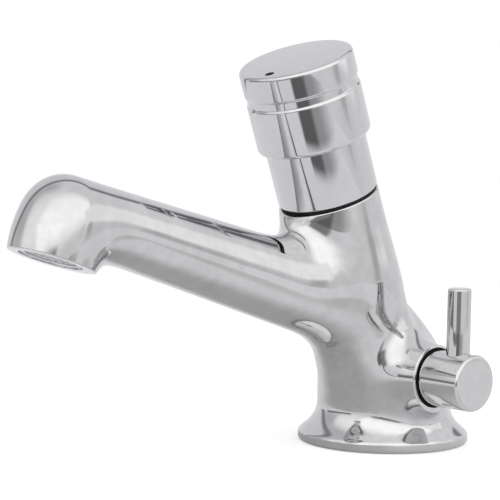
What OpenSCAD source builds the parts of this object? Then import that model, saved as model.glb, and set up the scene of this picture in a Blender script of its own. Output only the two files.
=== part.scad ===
// Push timed basin tap with a mixing lever on its side, in millimetres.
// The origin is the centre of the foot on the deck and +Z is up.
// The spout points to -Y, the lever to +X, and the head leans over the spout.

/* [Foot] */
// Diameter of the foot on the deck
foot_d = 54; // [50:0.5:60]
// Diameter of the waist above the foot
waist_d = 41.9; // [39:0.1:44]
// Height of the waist above the deck
waist_h = 13.3; // [12:0.1:15]
// Radius of the cove between the foot and the waist
cove_r = 10.8; // [9:0.1:12]
// Radius of the shoulder where the waist leans into the pillar
shoulder_r = 33; // [25:1:45]
// Blend between the foot's edge and the cove
rim_blend = 1.6; // [0.8:0.1:2.4]
// Rounding of the foot's lower edge
edge_r = 0.6; // [0.3:0.1:1]
// Diameter of the recess under the foot
recess_d = 36; // [32:0.5:40]
// Depth of the recess under the foot
recess_h = 6; // [5:0.5:7]
// Width of the deck gasket
gasket_w = 4; // [3:0.5:5]
// Thickness of the deck gasket
gasket_t = 1.5; // [1:0.1:2]

/* [Pillar] */
// Lean of the head axis toward the spout
head_tilt = 20.3; // [16:0.1:24]
// Distance behind the foot's centre at which the head axis meets the deck
head_back = 2.35; // [0:0.05:5]
// Length along the head axis from the deck to the collar's face
collar_l = 84; // [80:0.5:90]
// Diameter of the collar and of the sleeve above it
collar_d = 31.1; // [30:0.1:34]
// Growth of the pillar's radius for each millimetre below the collar
pillar_taper = 0.007; // [0:0.001:0.02]
// Blend between the foot and the pillar
foot_blend = 2.5; // [1.5:0.1:6]

/* [Spout] */
// Length of the tap, from the foot's back to the outlet's front edge
length = 174.11; // [164:0.01:188]
// Height of the outlet's centre above the deck
outlet_h = 65; // [60:0.5:72]
// Lean of the outlet's axis
outlet_tilt = 19.5; // [15:0.1:24]
// Outer diameter of the outlet's rim
outlet_d = 24; // [23:0.1:26]
// Rise of the spout's axis
spout_rise = 16.9; // [15:0.1:19]
// Height of the spout's axis above the outlet, along the outlet's axis
elbow_h = 14.6; // [13.6:0.1:16]
// Height of the spout's section at its tip
tip_h = 19.8; // [18.6:0.2:22]
// Width of the spout's section at its tip
tip_w = 22.4; // [21:0.2:24]
// Height of the spout's section at the pillar
root_h = 27.6; // [25:0.2:29]
// Width of the spout's section at the pillar
root_w = 26.4; // [24:0.2:29]
// Height of the tip's dome above the outlet's rim
dome_h = 12; // [10:0.1:14]
// Fullness of the tip's dome, 2 is an ellipse
dome_power = 2.45; // [2:0.05:3]
// Blend between the spout and its tip
tip_blend = 12.6; // [10:0.1:14]
// Blend above the spout, where it meets the collar
crease_blend = 14.7; // [10:0.1:17]
// Distance over which that rounding fades out at the collar's edge
collar_ease = 6; // [4:0.1:8]
// Blend below the spout, where it meets the pillar
throat_blend = 9.7; // [7:0.1:13]

/* [Lever] */
// Distance of the lever's axis ahead of the foot's centre
lever_fwd = 5.06; // [3:0.02:7]
// Height of the lever's axis
lever_h = 23.6; // [22.6:0.1:25]
// Distance of the boss's face from the tap's middle
boss_face = 26.8; // [26:0.1:29]
// Diameter of the boss at its face
boss_d = 20; // [19.6:0.1:22]
// Blend between the boss and the pillar
boss_blend = 11.5; // [8:0.1:16]
// Diameter of the lever's hub
hub_d = 17.4; // [16:0.1:18]
// Gap around the hub in the boss
hub_gap = 0.7; // [0.5:0.05:0.8]
// Depth of the recess around the hub
hub_recess = 1.6; // [1.2:0.1:2]
// Distance of the hub's face from the boss's face
hub_out = 16; // [14:0.1:18]
// Bevel of the hub's face
hub_bevel = 0.7; // [0.3:0.1:1]
// Diameter of the lever's pin
pin_d = 7.3; // [6:0.1:8]
// Distance of the pin's axis from the hub's face
pin_back = 7.3; // [6:0.1:8]
// Height of the pin's top above the lever's axis
pin_l = 28.5; // [24:0.5:34]
// Bevel of the pin's top
pin_bevel = 0.5; // [0.2:0.1:0.8]
// Diameter of the pin's threaded spigot in the hub
pin_spigot_d = 5; // [4:0.1:5.6]
// Depth of the spigot in the hub
pin_spigot_l = 3.6; // [3:0.1:4]
// Diameter of the hub's grub screw
grub_d = 4; // [3:0.1:4.5]

/* [Push button] */
// Length of the sleeve that shows below the button's skirt
neck_l = 18.7; // [16:0.1:22]
// Length of the button from its skirt to its top
cap_h = 26.3; // [24:0.1:30]
// Wall of the button's skirt
skirt_wall = 1.8; // [1.5:0.1:2.4]
// Gap between the skirt and the sleeve
skirt_gap = 0.32; // [0.25:0.01:0.5]
// Thickness of the button's top
cap_t = 3.5; // [3:0.1:4.5]
// Rounding of the button's top edge
cap_round = 1.2; // [0.6:0.1:1.6]
// Rounding of the skirt's lower edge
skirt_round = 1.5; // [0.6:0.1:1.7]
// Distance of the groove's middle below the button's top
groove_down = 9.5; // [7:0.1:12]
// Width of the groove at its floor
groove_w = 2.4; // [1.5:0.1:3]
// Depth of the groove, which is also the width of its bevels
groove_deep = 0.45; // [0.3:0.05:0.7]
// Travel of the button
travel = 6; // [4:0.2:7]
// Diameter of the button's inner boss
cap_boss_d = 18; // [17:0.2:20]
// Length of the button's inner boss
cap_boss_l = 6.5; // [5:0.1:8]
// Diameter of the dark marker in the button's top
marker_d = 2.6; // [2:0.1:3.4]
// Depth of the marker
marker_t = 1.6; // [1:0.1:2]
// Distance of the marker from the button's edge
marker_in = 4.4; // [3:0.1:6]
// Turn of the marker from the spout toward the lever
marker_turn = 8; // [-90:1:90]

/* [Sleeve] */
// Wall of the collar around the sleeve's thread
collar_wall = 2.05; // [1.8:0.05:2.6]
// Wall of the sleeve's threaded end
sleeve_wall = 1.45; // [1.2:0.05:1.8]
// Wall of the sleeve inside the button
sleeve_upper_wall = 2; // [1.6:0.1:2.6]
// Length of the sleeve above the collar's seal
sleeve_l = 28.6; // [26:0.2:30]
// Bevel of the sleeve's lower edge
sleeve_bevel = 0.5; // [0.2:0.1:0.8]
// Thickness of the dark seal under the sleeve
seal_t = 0.9; // [0.6:0.1:1.4]
// Set-back of the dark seal from the collar's surface
seal_inset = 0.4; // [0.2:0.1:0.7]

/* [Timed cartridge] */
// Depth of the cartridge's ledge below the collar's face
ledge_depth = 14; // [12:0.2:16]
// Width of the cartridge's ledge
ledge_w = 2.5; // [2:0.1:3]
// Thickness of the cartridge's flange
flange_t = 2; // [1.5:0.1:3]
// Length of the cartridge's barrel below its flange
barrel_l = 25.4; // [24.6:0.2:28]
// Length of the cartridge's barrel above its flange
upper_l = 20; // [18:0.2:22]
// Thickness of the cartridge's cover
cover_t = 3; // [2:0.1:4]
// Depth of the cover's spigot in the housing
cover_spigot_l = 4; // [3:0.1:5]
// Wall of the housing around the cover's spigot
cover_wall = 2; // [1.5:0.1:2.6]
// Thickness of the washer under the cartridge
washer_t = 1; // [0.6:0.1:1.6]
// Bore of the timing cylinder
cylinder_d = 15; // [14:0.1:16]
// Thickness of the housing's floor with the valve seat
seat_t = 2.4; // [1.8:0.1:3]
// Diameter of the valve seat's opening
seat_d = 9; // [8:0.1:10]
// Length of the outlet gallery around the housing
gallery_l = 6.4; // [5.4:0.1:7]
// Wall between the gallery and the timing cylinder
gallery_wall = 1.4; // [1:0.1:1.8]
// Diameter of the housing's outlet ports
port_d = 4; // [3:0.1:4.8]
// Number of the housing's outlet ports
port_count = 4; // [3:1:6]
// Section of the housing's O-rings
o_ring_d = 1.8; // [1.4:0.1:2]
// Distance between the housing's O-rings
o_ring_pitch = 5; // [4:0.1:6]
// Distance of the first O-ring above the gallery
o_ring_up = 4; // [3:0.1:5]
// Diameter of the push stem
stem_d = 5; // [4:0.1:6]
// Length of the piston
piston_l = 8; // [6:0.1:9]
// Width of the piston's seal
lip_w = 2.2; // [1.8:0.1:2.6]
// Depth of the piston's seal groove
lip_deep = 1.5; // [1.2:0.1:2]
// Thickness and reach of the stem's flange under the piston
stem_flange = 1.6; // [1:0.1:2]
// Diameter of the rubber valve disc
valve_d = 12; // [11:0.1:13]
// Thickness of the rubber valve disc
valve_t = 2.4; // [1.8:0.1:3]
// Step of the stem's radius above the valve disc
tail_step = 0.5; // [0.3:0.1:0.8]
// Width across the corners of the valve's nut
nut_d = 8; // [7:0.1:9]
// Thickness of the valve's nut
nut_t = 2; // [1.5:0.1:2.6]
// Wire of the return spring
wire_d = 1.4; // [1:0.1:1.6]
// Middle diameter of the return spring
spring_d = 14; // [12:0.1:15]
// Turns of the return spring
spring_turns = 7; // [5:1:8]

/* [Mixing cartridge] */
// Bore for the mixing cartridge
side_bore_d = 16; // [15:0.1:16.4]
// Distance of the bore's floor from the tap's middle
side_floor = 10; // [9.6:0.1:10.6]
// Thickness of the rubber port seal
port_seal_t = 1; // [0.8:0.1:1.4]
// Thickness of each ceramic disc
disc_t = 2.2; // [1.8:0.1:2.4]
// Radius of the circle through the ports
port_circle = 4.4; // [4:0.1:4.6]
// Diameter of the water ports
side_port_d = 3.4; // [2.6:0.1:3.6]
// Step from the ports' radius to the radius of the risers that feed them
riser_step = 0.3; // [0.2:0.05:0.5]
// Wall of the cartridge's carrier
carrier_wall = 0.7; // [0.5:0.05:0.9]
// Thickness of the carrier's end
carrier_end = 2; // [1.5:0.1:2.5]
// Diameter of the mixing stem
mix_stem_d = 7.8; // [7:0.1:8.2]
// Thickness of the mixing stem's flange
mix_flange_t = 1.4; // [1:0.1:1.8]
// Length of the mixing stem inside the hub
mix_drive_l = 11; // [9:0.1:12]
// Diameter of the mixing stem inside the hub
mix_drive_d = 7; // [6:0.1:7.6]
// Depth of the flat on the mixing stem
mix_flat = 0.9; // [0.6:0.1:1.2]
// Thickness of the gland nut's flange
gland_flange_t = 1.2; // [0.9:0.1:1.5]
// Section of the mixing stem's O-ring
mix_ring_d = 1.6; // [1.3:0.1:1.8]

/* [Outlet] */
// Diameter of the aerator's housing
aerator_d = 18.4; // [17.4:0.1:19]
// Depth of the aerator's seat above the outlet's rim
aerator_l = 9; // [8:0.1:10]
// Set-back of the aerator behind the outlet's rim
aerator_inset = 0.4; // [0.2:0.1:1]
// Wall of the aerator's housing
aerator_wall = 1.2; // [1:0.1:1.6]
// Height and reach of the aerator's lower lip
aerator_lip = 0.5; // [0.4:0.1:0.8]
// Thickness of the aerator's washer
aerator_washer_t = 1; // [0.8:0.1:1.6]
// Thickness of the aerator's perforated plate
plate_t = 1.2; // [1:0.1:1.6]
// Diameter of the holes in the perforated plate
jet_d = 1.4; // [1:0.1:1.6]
// Distance between the holes in the perforated plate
jet_pitch = 2.3; // [2.2:0.1:3]
// Diameter of the water way in the spout
water_d = 10; // [8:0.1:11]

/* [Inlets] */
// Tapping bore of each hose inlet
inlet_d = 9; // [8.5:0.1:9.5]
// Tapping bore of the fixing stud
stud_d = 6.8; // [5:0.1:7]
// Depth of the inlets and of the stud's hole above the recess
inlet_l = 8; // [7:0.1:8.4]
// Distance between the axes of the two hose inlets
inlet_gap = 14; // [13:0.1:15]
// Distance of the inlets ahead of the foot's centre
inlet_fwd = 5; // [3:0.1:7]
// Distance of the fixing stud behind the foot's centre
stud_back = 9; // [7:0.1:11]

/* [Fits] */
// Radial clearance of pieces that fit into each other
fit = 0.05; // [0.03:0.01:0.08]
// Clearance between pieces that move past each other
run = 0.1; // [0.06:0.01:0.15]
// Clearance around pieces that turn or slide freely
free = 0.3; // [0.25:0.01:0.4]
// Room around the valve disc and beyond moving pieces at the end of their travel
room = 1.2; // [0.8:0.1:1.5]

/* [Hidden] */
$fn = 64;
eps = 0.01;
over = 1;

// Colours
chrome = [0.80, 0.81, 0.83];
brass = [0.72, 0.58, 0.30];
steel = [0.62, 0.64, 0.66];
rubber = [0.09, 0.09, 0.10];
ceramic = [0.93, 0.92, 0.88];
plastic = [0.55, 0.57, 0.60];

// Radii from the collar inward
collar_r = collar_d / 2;
thread_r = collar_r - collar_wall;
spigot_r = thread_r - fit;
sleeve_bore_r = spigot_r - sleeve_wall;
upper_r = sleeve_bore_r - fit;
barrel_bore_r = thread_r - ledge_w;
barrel_r = barrel_bore_r - run;
gallery_r = cylinder_d / 2 + gallery_wall;
o_ring_mid_r = barrel_bore_r - fit - o_ring_d / 2;
o_ring_floor_r = o_ring_mid_r - o_ring_d / 2 - fit;
cover_spigot_r = upper_r - cover_wall;
skirt_bore_r = collar_r + skirt_gap;
cap_r = skirt_bore_r + skirt_wall;
valve_chamber_r = valve_d / 2 + room;
stem_r = stem_d / 2;
stem_tail_r = stem_r - tail_step;

// Places along the head axis, from the deck upward
ledge_s = collar_l - ledge_depth;
housing_s = ledge_s - barrel_l;
floor_s = housing_s - washer_t;
cylinder_s = housing_s + seat_t;
gallery_s = cylinder_s;
gallery_top_s = gallery_s + gallery_l;
o_ring_s = [for (i = [0, 1]) gallery_top_s + o_ring_up + i * o_ring_pitch];
flange_top_s = ledge_s + flange_t;
housing_top_s = flange_top_s + upper_l;
cover_top_s = housing_top_s + cover_t;
sleeve_s = collar_l + seal_t;
sleeve_top_s = sleeve_s + sleeve_l;
skirt_s = collar_l + neck_l;
cap_top_s = skirt_s + cap_h;
ceiling_s = cap_top_s - cap_t;
cap_boss_s = ceiling_s - cap_boss_l;
stem_top_s = ceiling_s - stem_r / 2;
valve_top_s = housing_s - run;
valve_s = valve_top_s - valve_t;
nut_s = valve_s - nut_t;
chamber_s = nut_s - travel - room;
piston_s = gallery_top_s + travel + stem_flange + room;
lip_s = piston_s + (piston_l - lip_w) / 2;
groove_s = cap_top_s - groove_down;

// Places along the lever's axis, from the tap's middle outward
seal_x = side_floor + port_seal_t;
fixed_x = seal_x + disc_t;
moving_x = fixed_x + run;
mix_flange_x = moving_x + disc_t;
carrier_x = mix_flange_x + mix_flange_t + run;
gland_x = carrier_x + carrier_end;
recess_x = boss_face - hub_recess;
gland_top_x = recess_x + gland_flange_t;
hub_x = gland_top_x + free;
hub_face_x = boss_face + hub_out;
drive_x = hub_x + mix_drive_l;
pin_x = hub_face_x - pin_back;
mix_ring_x = (gland_x + recess_x) / 2;
side_r = side_bore_d / 2;
carrier_r = side_r - fit;
disc_r = carrier_r - carrier_wall - fit;
mix_stem_r = mix_stem_d / 2;
mix_ring_mid_r = mix_stem_r + fit + mix_ring_d / 2;
hub_r = hub_d / 2;
hub_recess_r = hub_r + hub_gap;
grub_x = hub_x + grub_d;
drive_flat_r = mix_drive_d / 2 - mix_flat;
port_angles = [60, 180, 300];
mixed_port = 0;
hot_port = 1;
cold_port = 2;
port_x = [0, -inlet_gap / 2, inlet_gap / 2];
riser_d = side_port_d - 2 * riser_step;

// Places along the outlet's axis, from its rim upward
aerator_r = aerator_d / 2;
aerator_top = aerator_l - aerator_washer_t;
insert_r = aerator_r - aerator_wall - fit;
insert_s = aerator_inset + aerator_lip;
jet_rings = floor((insert_r - jet_pitch) / jet_pitch);

// Lines in the tap's middle plane, as forward and up
head_dir = [sin(head_tilt), cos(head_tilt)];
head_foot = [-head_back, 0];
spout_dir = [cos(spout_rise), sin(spout_rise)];
outlet_up = [-sin(outlet_tilt), cos(outlet_tilt)];
reach = length - foot_d / 2 - outlet_d / 2 * cos(outlet_tilt);
outlet_at = [reach, outlet_h];
elbow = outlet_at + outlet_up * elbow_h;
knee = head_foot + head_dir * wedge(elbow - head_foot, spout_dir) / wedge(head_dir, spout_dir);
spout_l = norm(elbow - knee);
collar_at = head_foot + head_dir * collar_l;
lever_at = [lever_fwd, lever_h];

// Ring counts of the cast body
around = 48;
half = around / 2;
collar_rings = 6;
flare_rings = 9;
straight_rings = 8;
bend_rings = 10;
nozzle_rings = 2;
foot_rings = 22;
halvings = 9;
boss_crowding = 18;
fold_lag = 1.8;
foot_lag = 1.3;
tip_bend_r = 13;
flare_l = 46;
ray_l = 48;
boss_spare = 4;

// Product of two plane vectors that is zero when they are parallel
function wedge(a, b) = a.x * b.y - a.y * b.x;

// Point of the middle plane in space, at a distance to the lever's side
function in_space(p, x = 0) = [x, -p.x, p.y];

// Direction in the middle plane, as forward and up
function plane_dir(a) = [cos(a), sin(a)];

// Lesser of two distances, rounded where they are within k of each other
function blend(a, b, k) = min(a, b) - pow(max(k - abs(a - b), 0), 2) / (4 * max(k, eps));

// Smooth step from 0 to 1
function ease(t) = let (c = min(max(t, 0), 1)) c * c * (3 - 2 * c);

// Radius of the foot at a height: edge, cove and shoulder
function cove_radius(z) = waist_d / 2 + cove_r
    - sqrt(max(pow(cove_r, 2) - pow(max(waist_h - z, 0), 2), 0))
    - pow(max(z - waist_h, 0), 2) / (2 * shoulder_r);
function edge_loss(z) = edge_r - sqrt(max(pow(edge_r, 2) - pow(max(edge_r - z, 0), 2), 0));
function foot_radius(z) = blend(cove_radius(z), foot_d / 2, rim_blend) - edge_loss(z);

// Distance of a point to each form of the casting
function foot_field(p) = norm([p.x, p.y]) - foot_radius(p.z);
function pillar_field(p) = let (
    q = [-p.y, p.z] - head_foot,
    along = q * head_dir)
    norm([p.x, wedge(q, head_dir)]) - collar_r - (collar_l - along) * pillar_taper;
function spout_field(p) = let (
    q = elbow - [-p.y, p.z],
    back = q * spout_dir,
    share = min(max(back / spout_l, 0), 1),
    h = (tip_h + (root_h - tip_h) * share) / 2,
    w = (tip_w + (root_w - tip_w) * share) / 2,
    past = min(back, 0) + max(back + root_h / 2 - spout_l, 0))
    (norm([p.x / w, wedge(q, spout_dir) / h, past / h]) - 1) * min(h, w);
function tip_field(p) = let (
    q = [-p.y, p.z] - outlet_at,
    off = norm([p.x, wedge(q, outlet_up)]) * 2 / outlet_d,
    up = max(q * outlet_up, 0) / dome_h)
    (pow(pow(off, dome_power) + pow(up, dome_power), 1 / dome_power) - 1) * outlet_d / 2;
function boss_field(p) = max(
    norm([-p.y - lever_at.x, p.z - lever_at.y, min(p.x, 0)]) - boss_d / 2,
    p.x - boss_face - boss_spare);

// Distance to the whole casting, whose blend changes around the spout and fades at the collar
function body_field(p) = let (
    pillar = pillar_field(p),
    post = blend(foot_field(p), pillar, foot_blend),
    arm = blend(spout_field(p), tip_field(p), tip_blend),
    above = wedge(spout_dir, [-p.y, p.z] - elbow) / root_h,
    below = collar_l - ([-p.y, p.z] - head_foot) * head_dir + max(pillar, 0),
    k = (throat_blend + (crease_blend - throat_blend) * ease(above + 1 / 2)) * ease(below / collar_ease))
    blend(blend(post, arm, k), boss_field(p), boss_blend);

// Length of a ray from inside the casting to its surface
function ray_end(o, d, near, far, n) = let (mid = (near + far) / 2)
    n > 0
        ? (body_field(o + d * mid) < 0
            ? ray_end(o, d, mid, far, n - 1)
            : ray_end(o, d, near, mid, n - 1))
        : let (a = body_field(o + d * near), b = body_field(o + d * far))
            near + (far - near) * a / (a - b);

// Turn of ray j about a section, closer together on the boss's side
function ray_turn(j) = 360 * j / around - boss_crowding * sin(360 * j / around);

// Surface point of ray j of a section: its centre and the lean of its two halves
function ray_point(section, j) = let (
    turn = ray_turn(j),
    lean = plane_dir(turn <= 180 ? section[1] : section[2]) * abs(sin(turn)),
    o = in_space(section[0]),
    d = in_space(lean, cos(turn)))
    o + d * ray_end(o, d, 0, ray_l, halvings);
function section_ring(section) = [for (j = [0 : around - 1]) ray_point(section, j)];

// Leans of the three half planes that part pillar, collar and spout at the knee
crease_a = (spout_rise + 90 - head_tilt) / 2;
throat_a = (spout_rise - 90 - head_tilt) / 2;
back_a = 180 - head_tilt;

// Sections of the collar, the spout and the foot, each from the knee outward
function collar_sections() = [for (i = [1 : collar_rings]) let (t = i / collar_rings)
    [knee + (collar_at - knee) * t, crease_a - (head_tilt + crease_a) * pow(t, fold_lag), back_a]];
function flare_sections() = [for (i = [1 : flare_rings]) let (t = i / flare_rings)
    [knee + spout_dir * flare_l * t,
        crease_a + (spout_rise + 90 - crease_a) * pow(t, fold_lag),
        throat_a + (spout_rise - 90 - throat_a) * t]];
tip_turn = 90 + spout_rise - outlet_tilt;
tip_run = tip_bend_r * tan(tip_turn / 2);
tip_pivot = elbow - spout_dir * tip_run + [spout_dir.y, -spout_dir.x] * tip_bend_r;
function straight_sections() = [for (i = [1 : straight_rings])
    [knee + spout_dir * (flare_l + (spout_l - tip_run - flare_l) * i / straight_rings),
        spout_rise + 90, spout_rise - 90]];
function bend_sections() = [for (i = [1 : bend_rings]) let (
    a = spout_rise + 90 - tip_turn * i / bend_rings)
    [tip_pivot + plane_dir(a) * tip_bend_r, a, a - 180]];
function nozzle_sections() = [for (i = [1 : nozzle_rings])
    [outlet_at + outlet_up * (elbow_h - tip_run) * (1 - i / nozzle_rings),
        outlet_tilt, outlet_tilt - 180]];
function foot_sections() = [for (i = [1 : foot_rings]) let (
    t = pow(1 - i / foot_rings, 2),
    z = knee.y * t,
    lean = max(z - edge_r - waist_h / 2, 0) / (knee.y - edge_r - waist_h / 2))
    [[knee.x * pow(lean, foot_lag), z], throat_a * pow(t, foot_lag), 180 - head_tilt * t]];

// Two triangles of each cell between two rings of point numbers
function strip(a, b) = [for (j = [0 : around - 1]) let (k = (j + 1) % around)
    each [[a[j], b[j], b[k]], [a[j], b[k], a[k]]]];
function ring_at(start) = [for (j = [0 : around - 1]) start + j];
function turned(faces) = [for (f = faces) [f[2], f[1], f[0]]];
function tube(seam, start, count) = concat(
    strip(seam, ring_at(start)),
    [for (i = [1 : 1 : count - 1])
        each strip(ring_at(start + (i - 1) * around), ring_at(start + i * around))]);

// Cast outer form: three tubes of rings that share one seam at the knee
module cast_form() {
    arms = [collar_sections(),
        concat(flare_sections(), straight_sections(), bend_sections(), nozzle_sections()),
        foot_sections()];
    crease = [for (j = [0 : half]) ray_point([knee, crease_a, back_a], j)];
    throat = [for (j = [1 : half - 1]) ray_point([knee, throat_a, back_a], j)];
    spine = [for (j = [1 : half - 1]) ray_point([knee, crease_a, back_a], around - j)];
    seam = concat(crease, throat, spine);
    rings = [for (arm = arms) [for (section = arm) section_ring(section)]];
    points = concat(seam, [for (arm = rings) each [for (ring = arm) each ring]]);
    throat_no = concat([0], [for (j = [1 : half - 1]) half + j], [half]);
    spine_no = [for (j = [1 : half - 1]) around - 1 + half - j];
    throat_back = [for (j = [1 : half - 1]) throat_no[half - j]];
    starts = [len(seam), len(seam) + len(arms[0]) * around,
        len(seam) + (len(arms[0]) + len(arms[1])) * around];
    ends = [for (i = [0 : 2]) starts[i] + (len(arms[i]) - 1) * around];
    crease_no = [for (j = [0 : half]) j];
    faces = concat(
        turned(tube(concat(crease_no, spine_no), starts[0], len(arms[0]))),
        tube(concat(crease_no, throat_back), starts[1], len(arms[1])),
        tube(concat(throat_no, spine_no), starts[2], len(arms[2])),
        [ring_at(ends[0])],
        [for (i = [1, 2]) let (r = ring_at(ends[i])) [for (j = [around - 1 : -1 : 0]) r[j]]]);
    polyhedron(points, faces, convexity = 6);
}

// Frames of the head, the lever and the outlet
module on_head(s = 0) {
    translate([0, head_back, 0]) rotate([head_tilt, 0, 0]) translate([0, 0, s]) children();
}
module on_lever(x = 0) {
    translate([x, -lever_fwd, lever_h]) rotate([0, 90, 0]) children();
}
module on_outlet(s = 0) {
    translate(in_space(outlet_at)) rotate([-outlet_tilt, 0, 0]) translate([0, 0, s]) children();
}

// Plain round forms: a rod between two points, a washer and a ring of round section
module rod(a, b, d) {
    v = b - a;
    translate(a) rotate([0, acos(v.z / norm(v)), atan2(v.y, v.x)]) cylinder(d = d, h = norm(v));
}
module washer(outer_r, inner_r, h) {
    difference() {
        cylinder(r = outer_r, h = h);
        translate([0, 0, -eps]) cylinder(r = inner_r, h = h + 2 * eps);
    }
}
module ring(mid_r, d) {
    rotate_extrude() translate([mid_r, 0]) circle(d = d);
}

// Ports of the mixing cartridge, as places beside the lever's axis
function port_place(i) = lever_at + plane_dir(port_angles[i]) * port_circle;
function port_end(i) = in_space(port_place(i), port_x[i]);
module side_ports(x, h) {
    for (i = [0 : 2])
        translate(in_space(port_place(i), x)) rotate([0, 90, 0]) cylinder(d = side_port_d, h = h);
}

// A bore whose seam falls between two facets of the casting
module bore(r, h) {
    rotate(180 / around) cylinder(r = r, h = h);
}
// Bores for the two cartridges and the aerator, and the water ways between them
module water_ways() {
    gallery_at = head_foot + head_dir * (gallery_s + gallery_l / 2);
    on_head(ledge_s) bore(thread_r, ledge_depth + over);
    on_head(floor_s) cylinder(r = barrel_bore_r, h = ledge_depth + barrel_l);
    on_head(chamber_s) cylinder(r = valve_chamber_r, h = floor_s - chamber_s + over);
    rod(in_space(gallery_at), in_space(elbow), water_d);
    on_outlet(-over) bore(aerator_r + fit, aerator_l + over);
    on_outlet(aerator_l - over) cylinder(d = water_d, h = elbow_h - aerator_l + over + water_d / 4);
    on_lever(side_floor) cylinder(r = side_r, h = boss_face);
    on_lever(recess_x) cylinder(r = hub_recess_r, h = hub_recess + over);
    for (i = [0 : 2])
        rod(in_space(port_place(i), port_x[i] - side_port_d), in_space(port_place(i), side_floor + over),
            side_port_d);
    rod(port_end(mixed_port), in_space(head_foot + head_dir * (chamber_s + over)), riser_d);
    for (i = [hot_port, cold_port])
        rod([port_x[i], -inlet_fwd, inlet_top - over], port_end(i), riser_d);
}
inlet_top = recess_h + inlet_l;
gasket_mid_r = (foot_d / 2 - edge_r + recess_d / 2) / 2;
gasket_outer_r = gasket_mid_r + gasket_w / 2;
gasket_inner_r = gasket_mid_r - gasket_w / 2;
module tap_body() {
    color(chrome) difference() {
        cast_form();
        translate([0, 0, -over]) bore(recess_d / 2, recess_h + over);
        translate([0, 0, -over]) rotate(180 / around)
            washer(gasket_outer_r + fit, gasket_inner_r - fit, gasket_t + over);
        for (i = [hot_port, cold_port])
            translate([port_x[i], -inlet_fwd, 0]) cylinder(d = inlet_d, h = inlet_top);
        translate([0, stud_back, 0]) cylinder(d = stud_d, h = inlet_top);
        on_lever(boss_face) cylinder(r = boss_d, h = ray_l);
        water_ways();
    }
}
module base_gasket() {
    color(rubber) washer(gasket_outer_r, gasket_inner_r, gasket_t);
}

module aerator_housing() {
    lip_r = aerator_r - aerator_wall - aerator_lip;
    color(plastic) on_outlet() rotate_extrude() polygon([
        [lip_r, aerator_inset], [aerator_r - aerator_lip, aerator_inset],
        [aerator_r, aerator_inset + aerator_lip], [aerator_r, aerator_top],
        [aerator_r - aerator_wall, aerator_top], [aerator_r - aerator_wall, insert_s],
        [lip_r, insert_s]]);
}
module aerator_insert() {
    color(plastic) on_outlet(insert_s) difference() {
        cylinder(r = insert_r, h = aerator_top - insert_s);
        translate([0, 0, plate_t]) cylinder(r = insert_r - aerator_lip, h = aerator_l);
        for (ring = [0 : jet_rings]) for (i = [0 : max(6 * ring, 1) - 1])
            rotate(60 * i / max(ring, 1)) translate([ring * jet_pitch, 0, -over])
                cylinder(d = jet_d, h = plate_t + 2 * over);
    }
}
module aerator_washer() {
    color(rubber) on_outlet(aerator_top) washer(aerator_r - fit, water_d / 2 + free, aerator_washer_t);
}

module head_sleeve() {
    upper_bore_r = collar_r - sleeve_upper_wall;
    color(chrome) on_head() rotate_extrude() polygon([
        [sleeve_bore_r, flange_top_s], [spigot_r, flange_top_s], [spigot_r, sleeve_s],
        [collar_r - sleeve_bevel, sleeve_s], [collar_r, sleeve_s + sleeve_bevel],
        [collar_r, sleeve_top_s - sleeve_bevel], [collar_r - sleeve_bevel, sleeve_top_s],
        [upper_bore_r, sleeve_top_s], [upper_bore_r, cover_top_s + upper_bore_r - sleeve_bore_r],
        [sleeve_bore_r, cover_top_s]]);
}
module sleeve_seal() {
    color(rubber) on_head(collar_l) washer(collar_r - seal_inset, spigot_r + fit, seal_t);
}

module cartridge_housing() {
    cylinder_r = cylinder_d / 2;
    cover_s = housing_top_s - cover_spigot_l;
    color(brass) on_head() difference() {
        union() {
            translate([0, 0, housing_s]) cylinder(r = barrel_r, h = barrel_l + eps);
            translate([0, 0, ledge_s]) cylinder(r = thread_r - fit, h = flange_t);
            translate([0, 0, ledge_s]) cylinder(r = upper_r, h = housing_top_s - ledge_s);
        }
        translate([0, 0, gallery_s]) washer(barrel_r + over, gallery_r, gallery_l);
        for (s = o_ring_s) translate([0, 0, s - o_ring_d / 2 - fit])
            washer(barrel_r + over, o_ring_floor_r, o_ring_d + 2 * fit);
        translate([0, 0, housing_s - over]) cylinder(d = seat_d, h = seat_t + 2 * over);
        translate([0, 0, cylinder_s]) cylinder(r = cylinder_r, h = cover_s - cylinder_s + eps);
        translate([0, 0, cover_s]) cylinder(r = cover_spigot_r + fit, h = cover_spigot_l + over);
        for (i = [1 : port_count])
            rotate(360 * i / port_count) translate([0, 0, gallery_s + gallery_l / 2])
                rotate([0, 90, 0]) cylinder(d = port_d, h = barrel_r + over);
    }
}
module cartridge_o_rings() {
    color(rubber) on_head() for (s = o_ring_s) translate([0, 0, s]) ring(o_ring_mid_r, o_ring_d);
}
module cartridge_cover() {
    spigot_s = housing_top_s - cover_spigot_l;
    color(brass) on_head() difference() {
        union() {
            translate([0, 0, housing_top_s]) cylinder(r = upper_r, h = cover_t);
            translate([0, 0, spigot_s]) cylinder(r = cover_spigot_r, h = cover_spigot_l + eps);
        }
        translate([0, 0, spigot_s - over])
            cylinder(r = stem_r + run, h = cover_spigot_l + cover_t + 2 * over);
    }
}
module seat_washer() {
    color(rubber) on_head(floor_s) washer(barrel_r, valve_chamber_r, washer_t);
}

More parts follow.
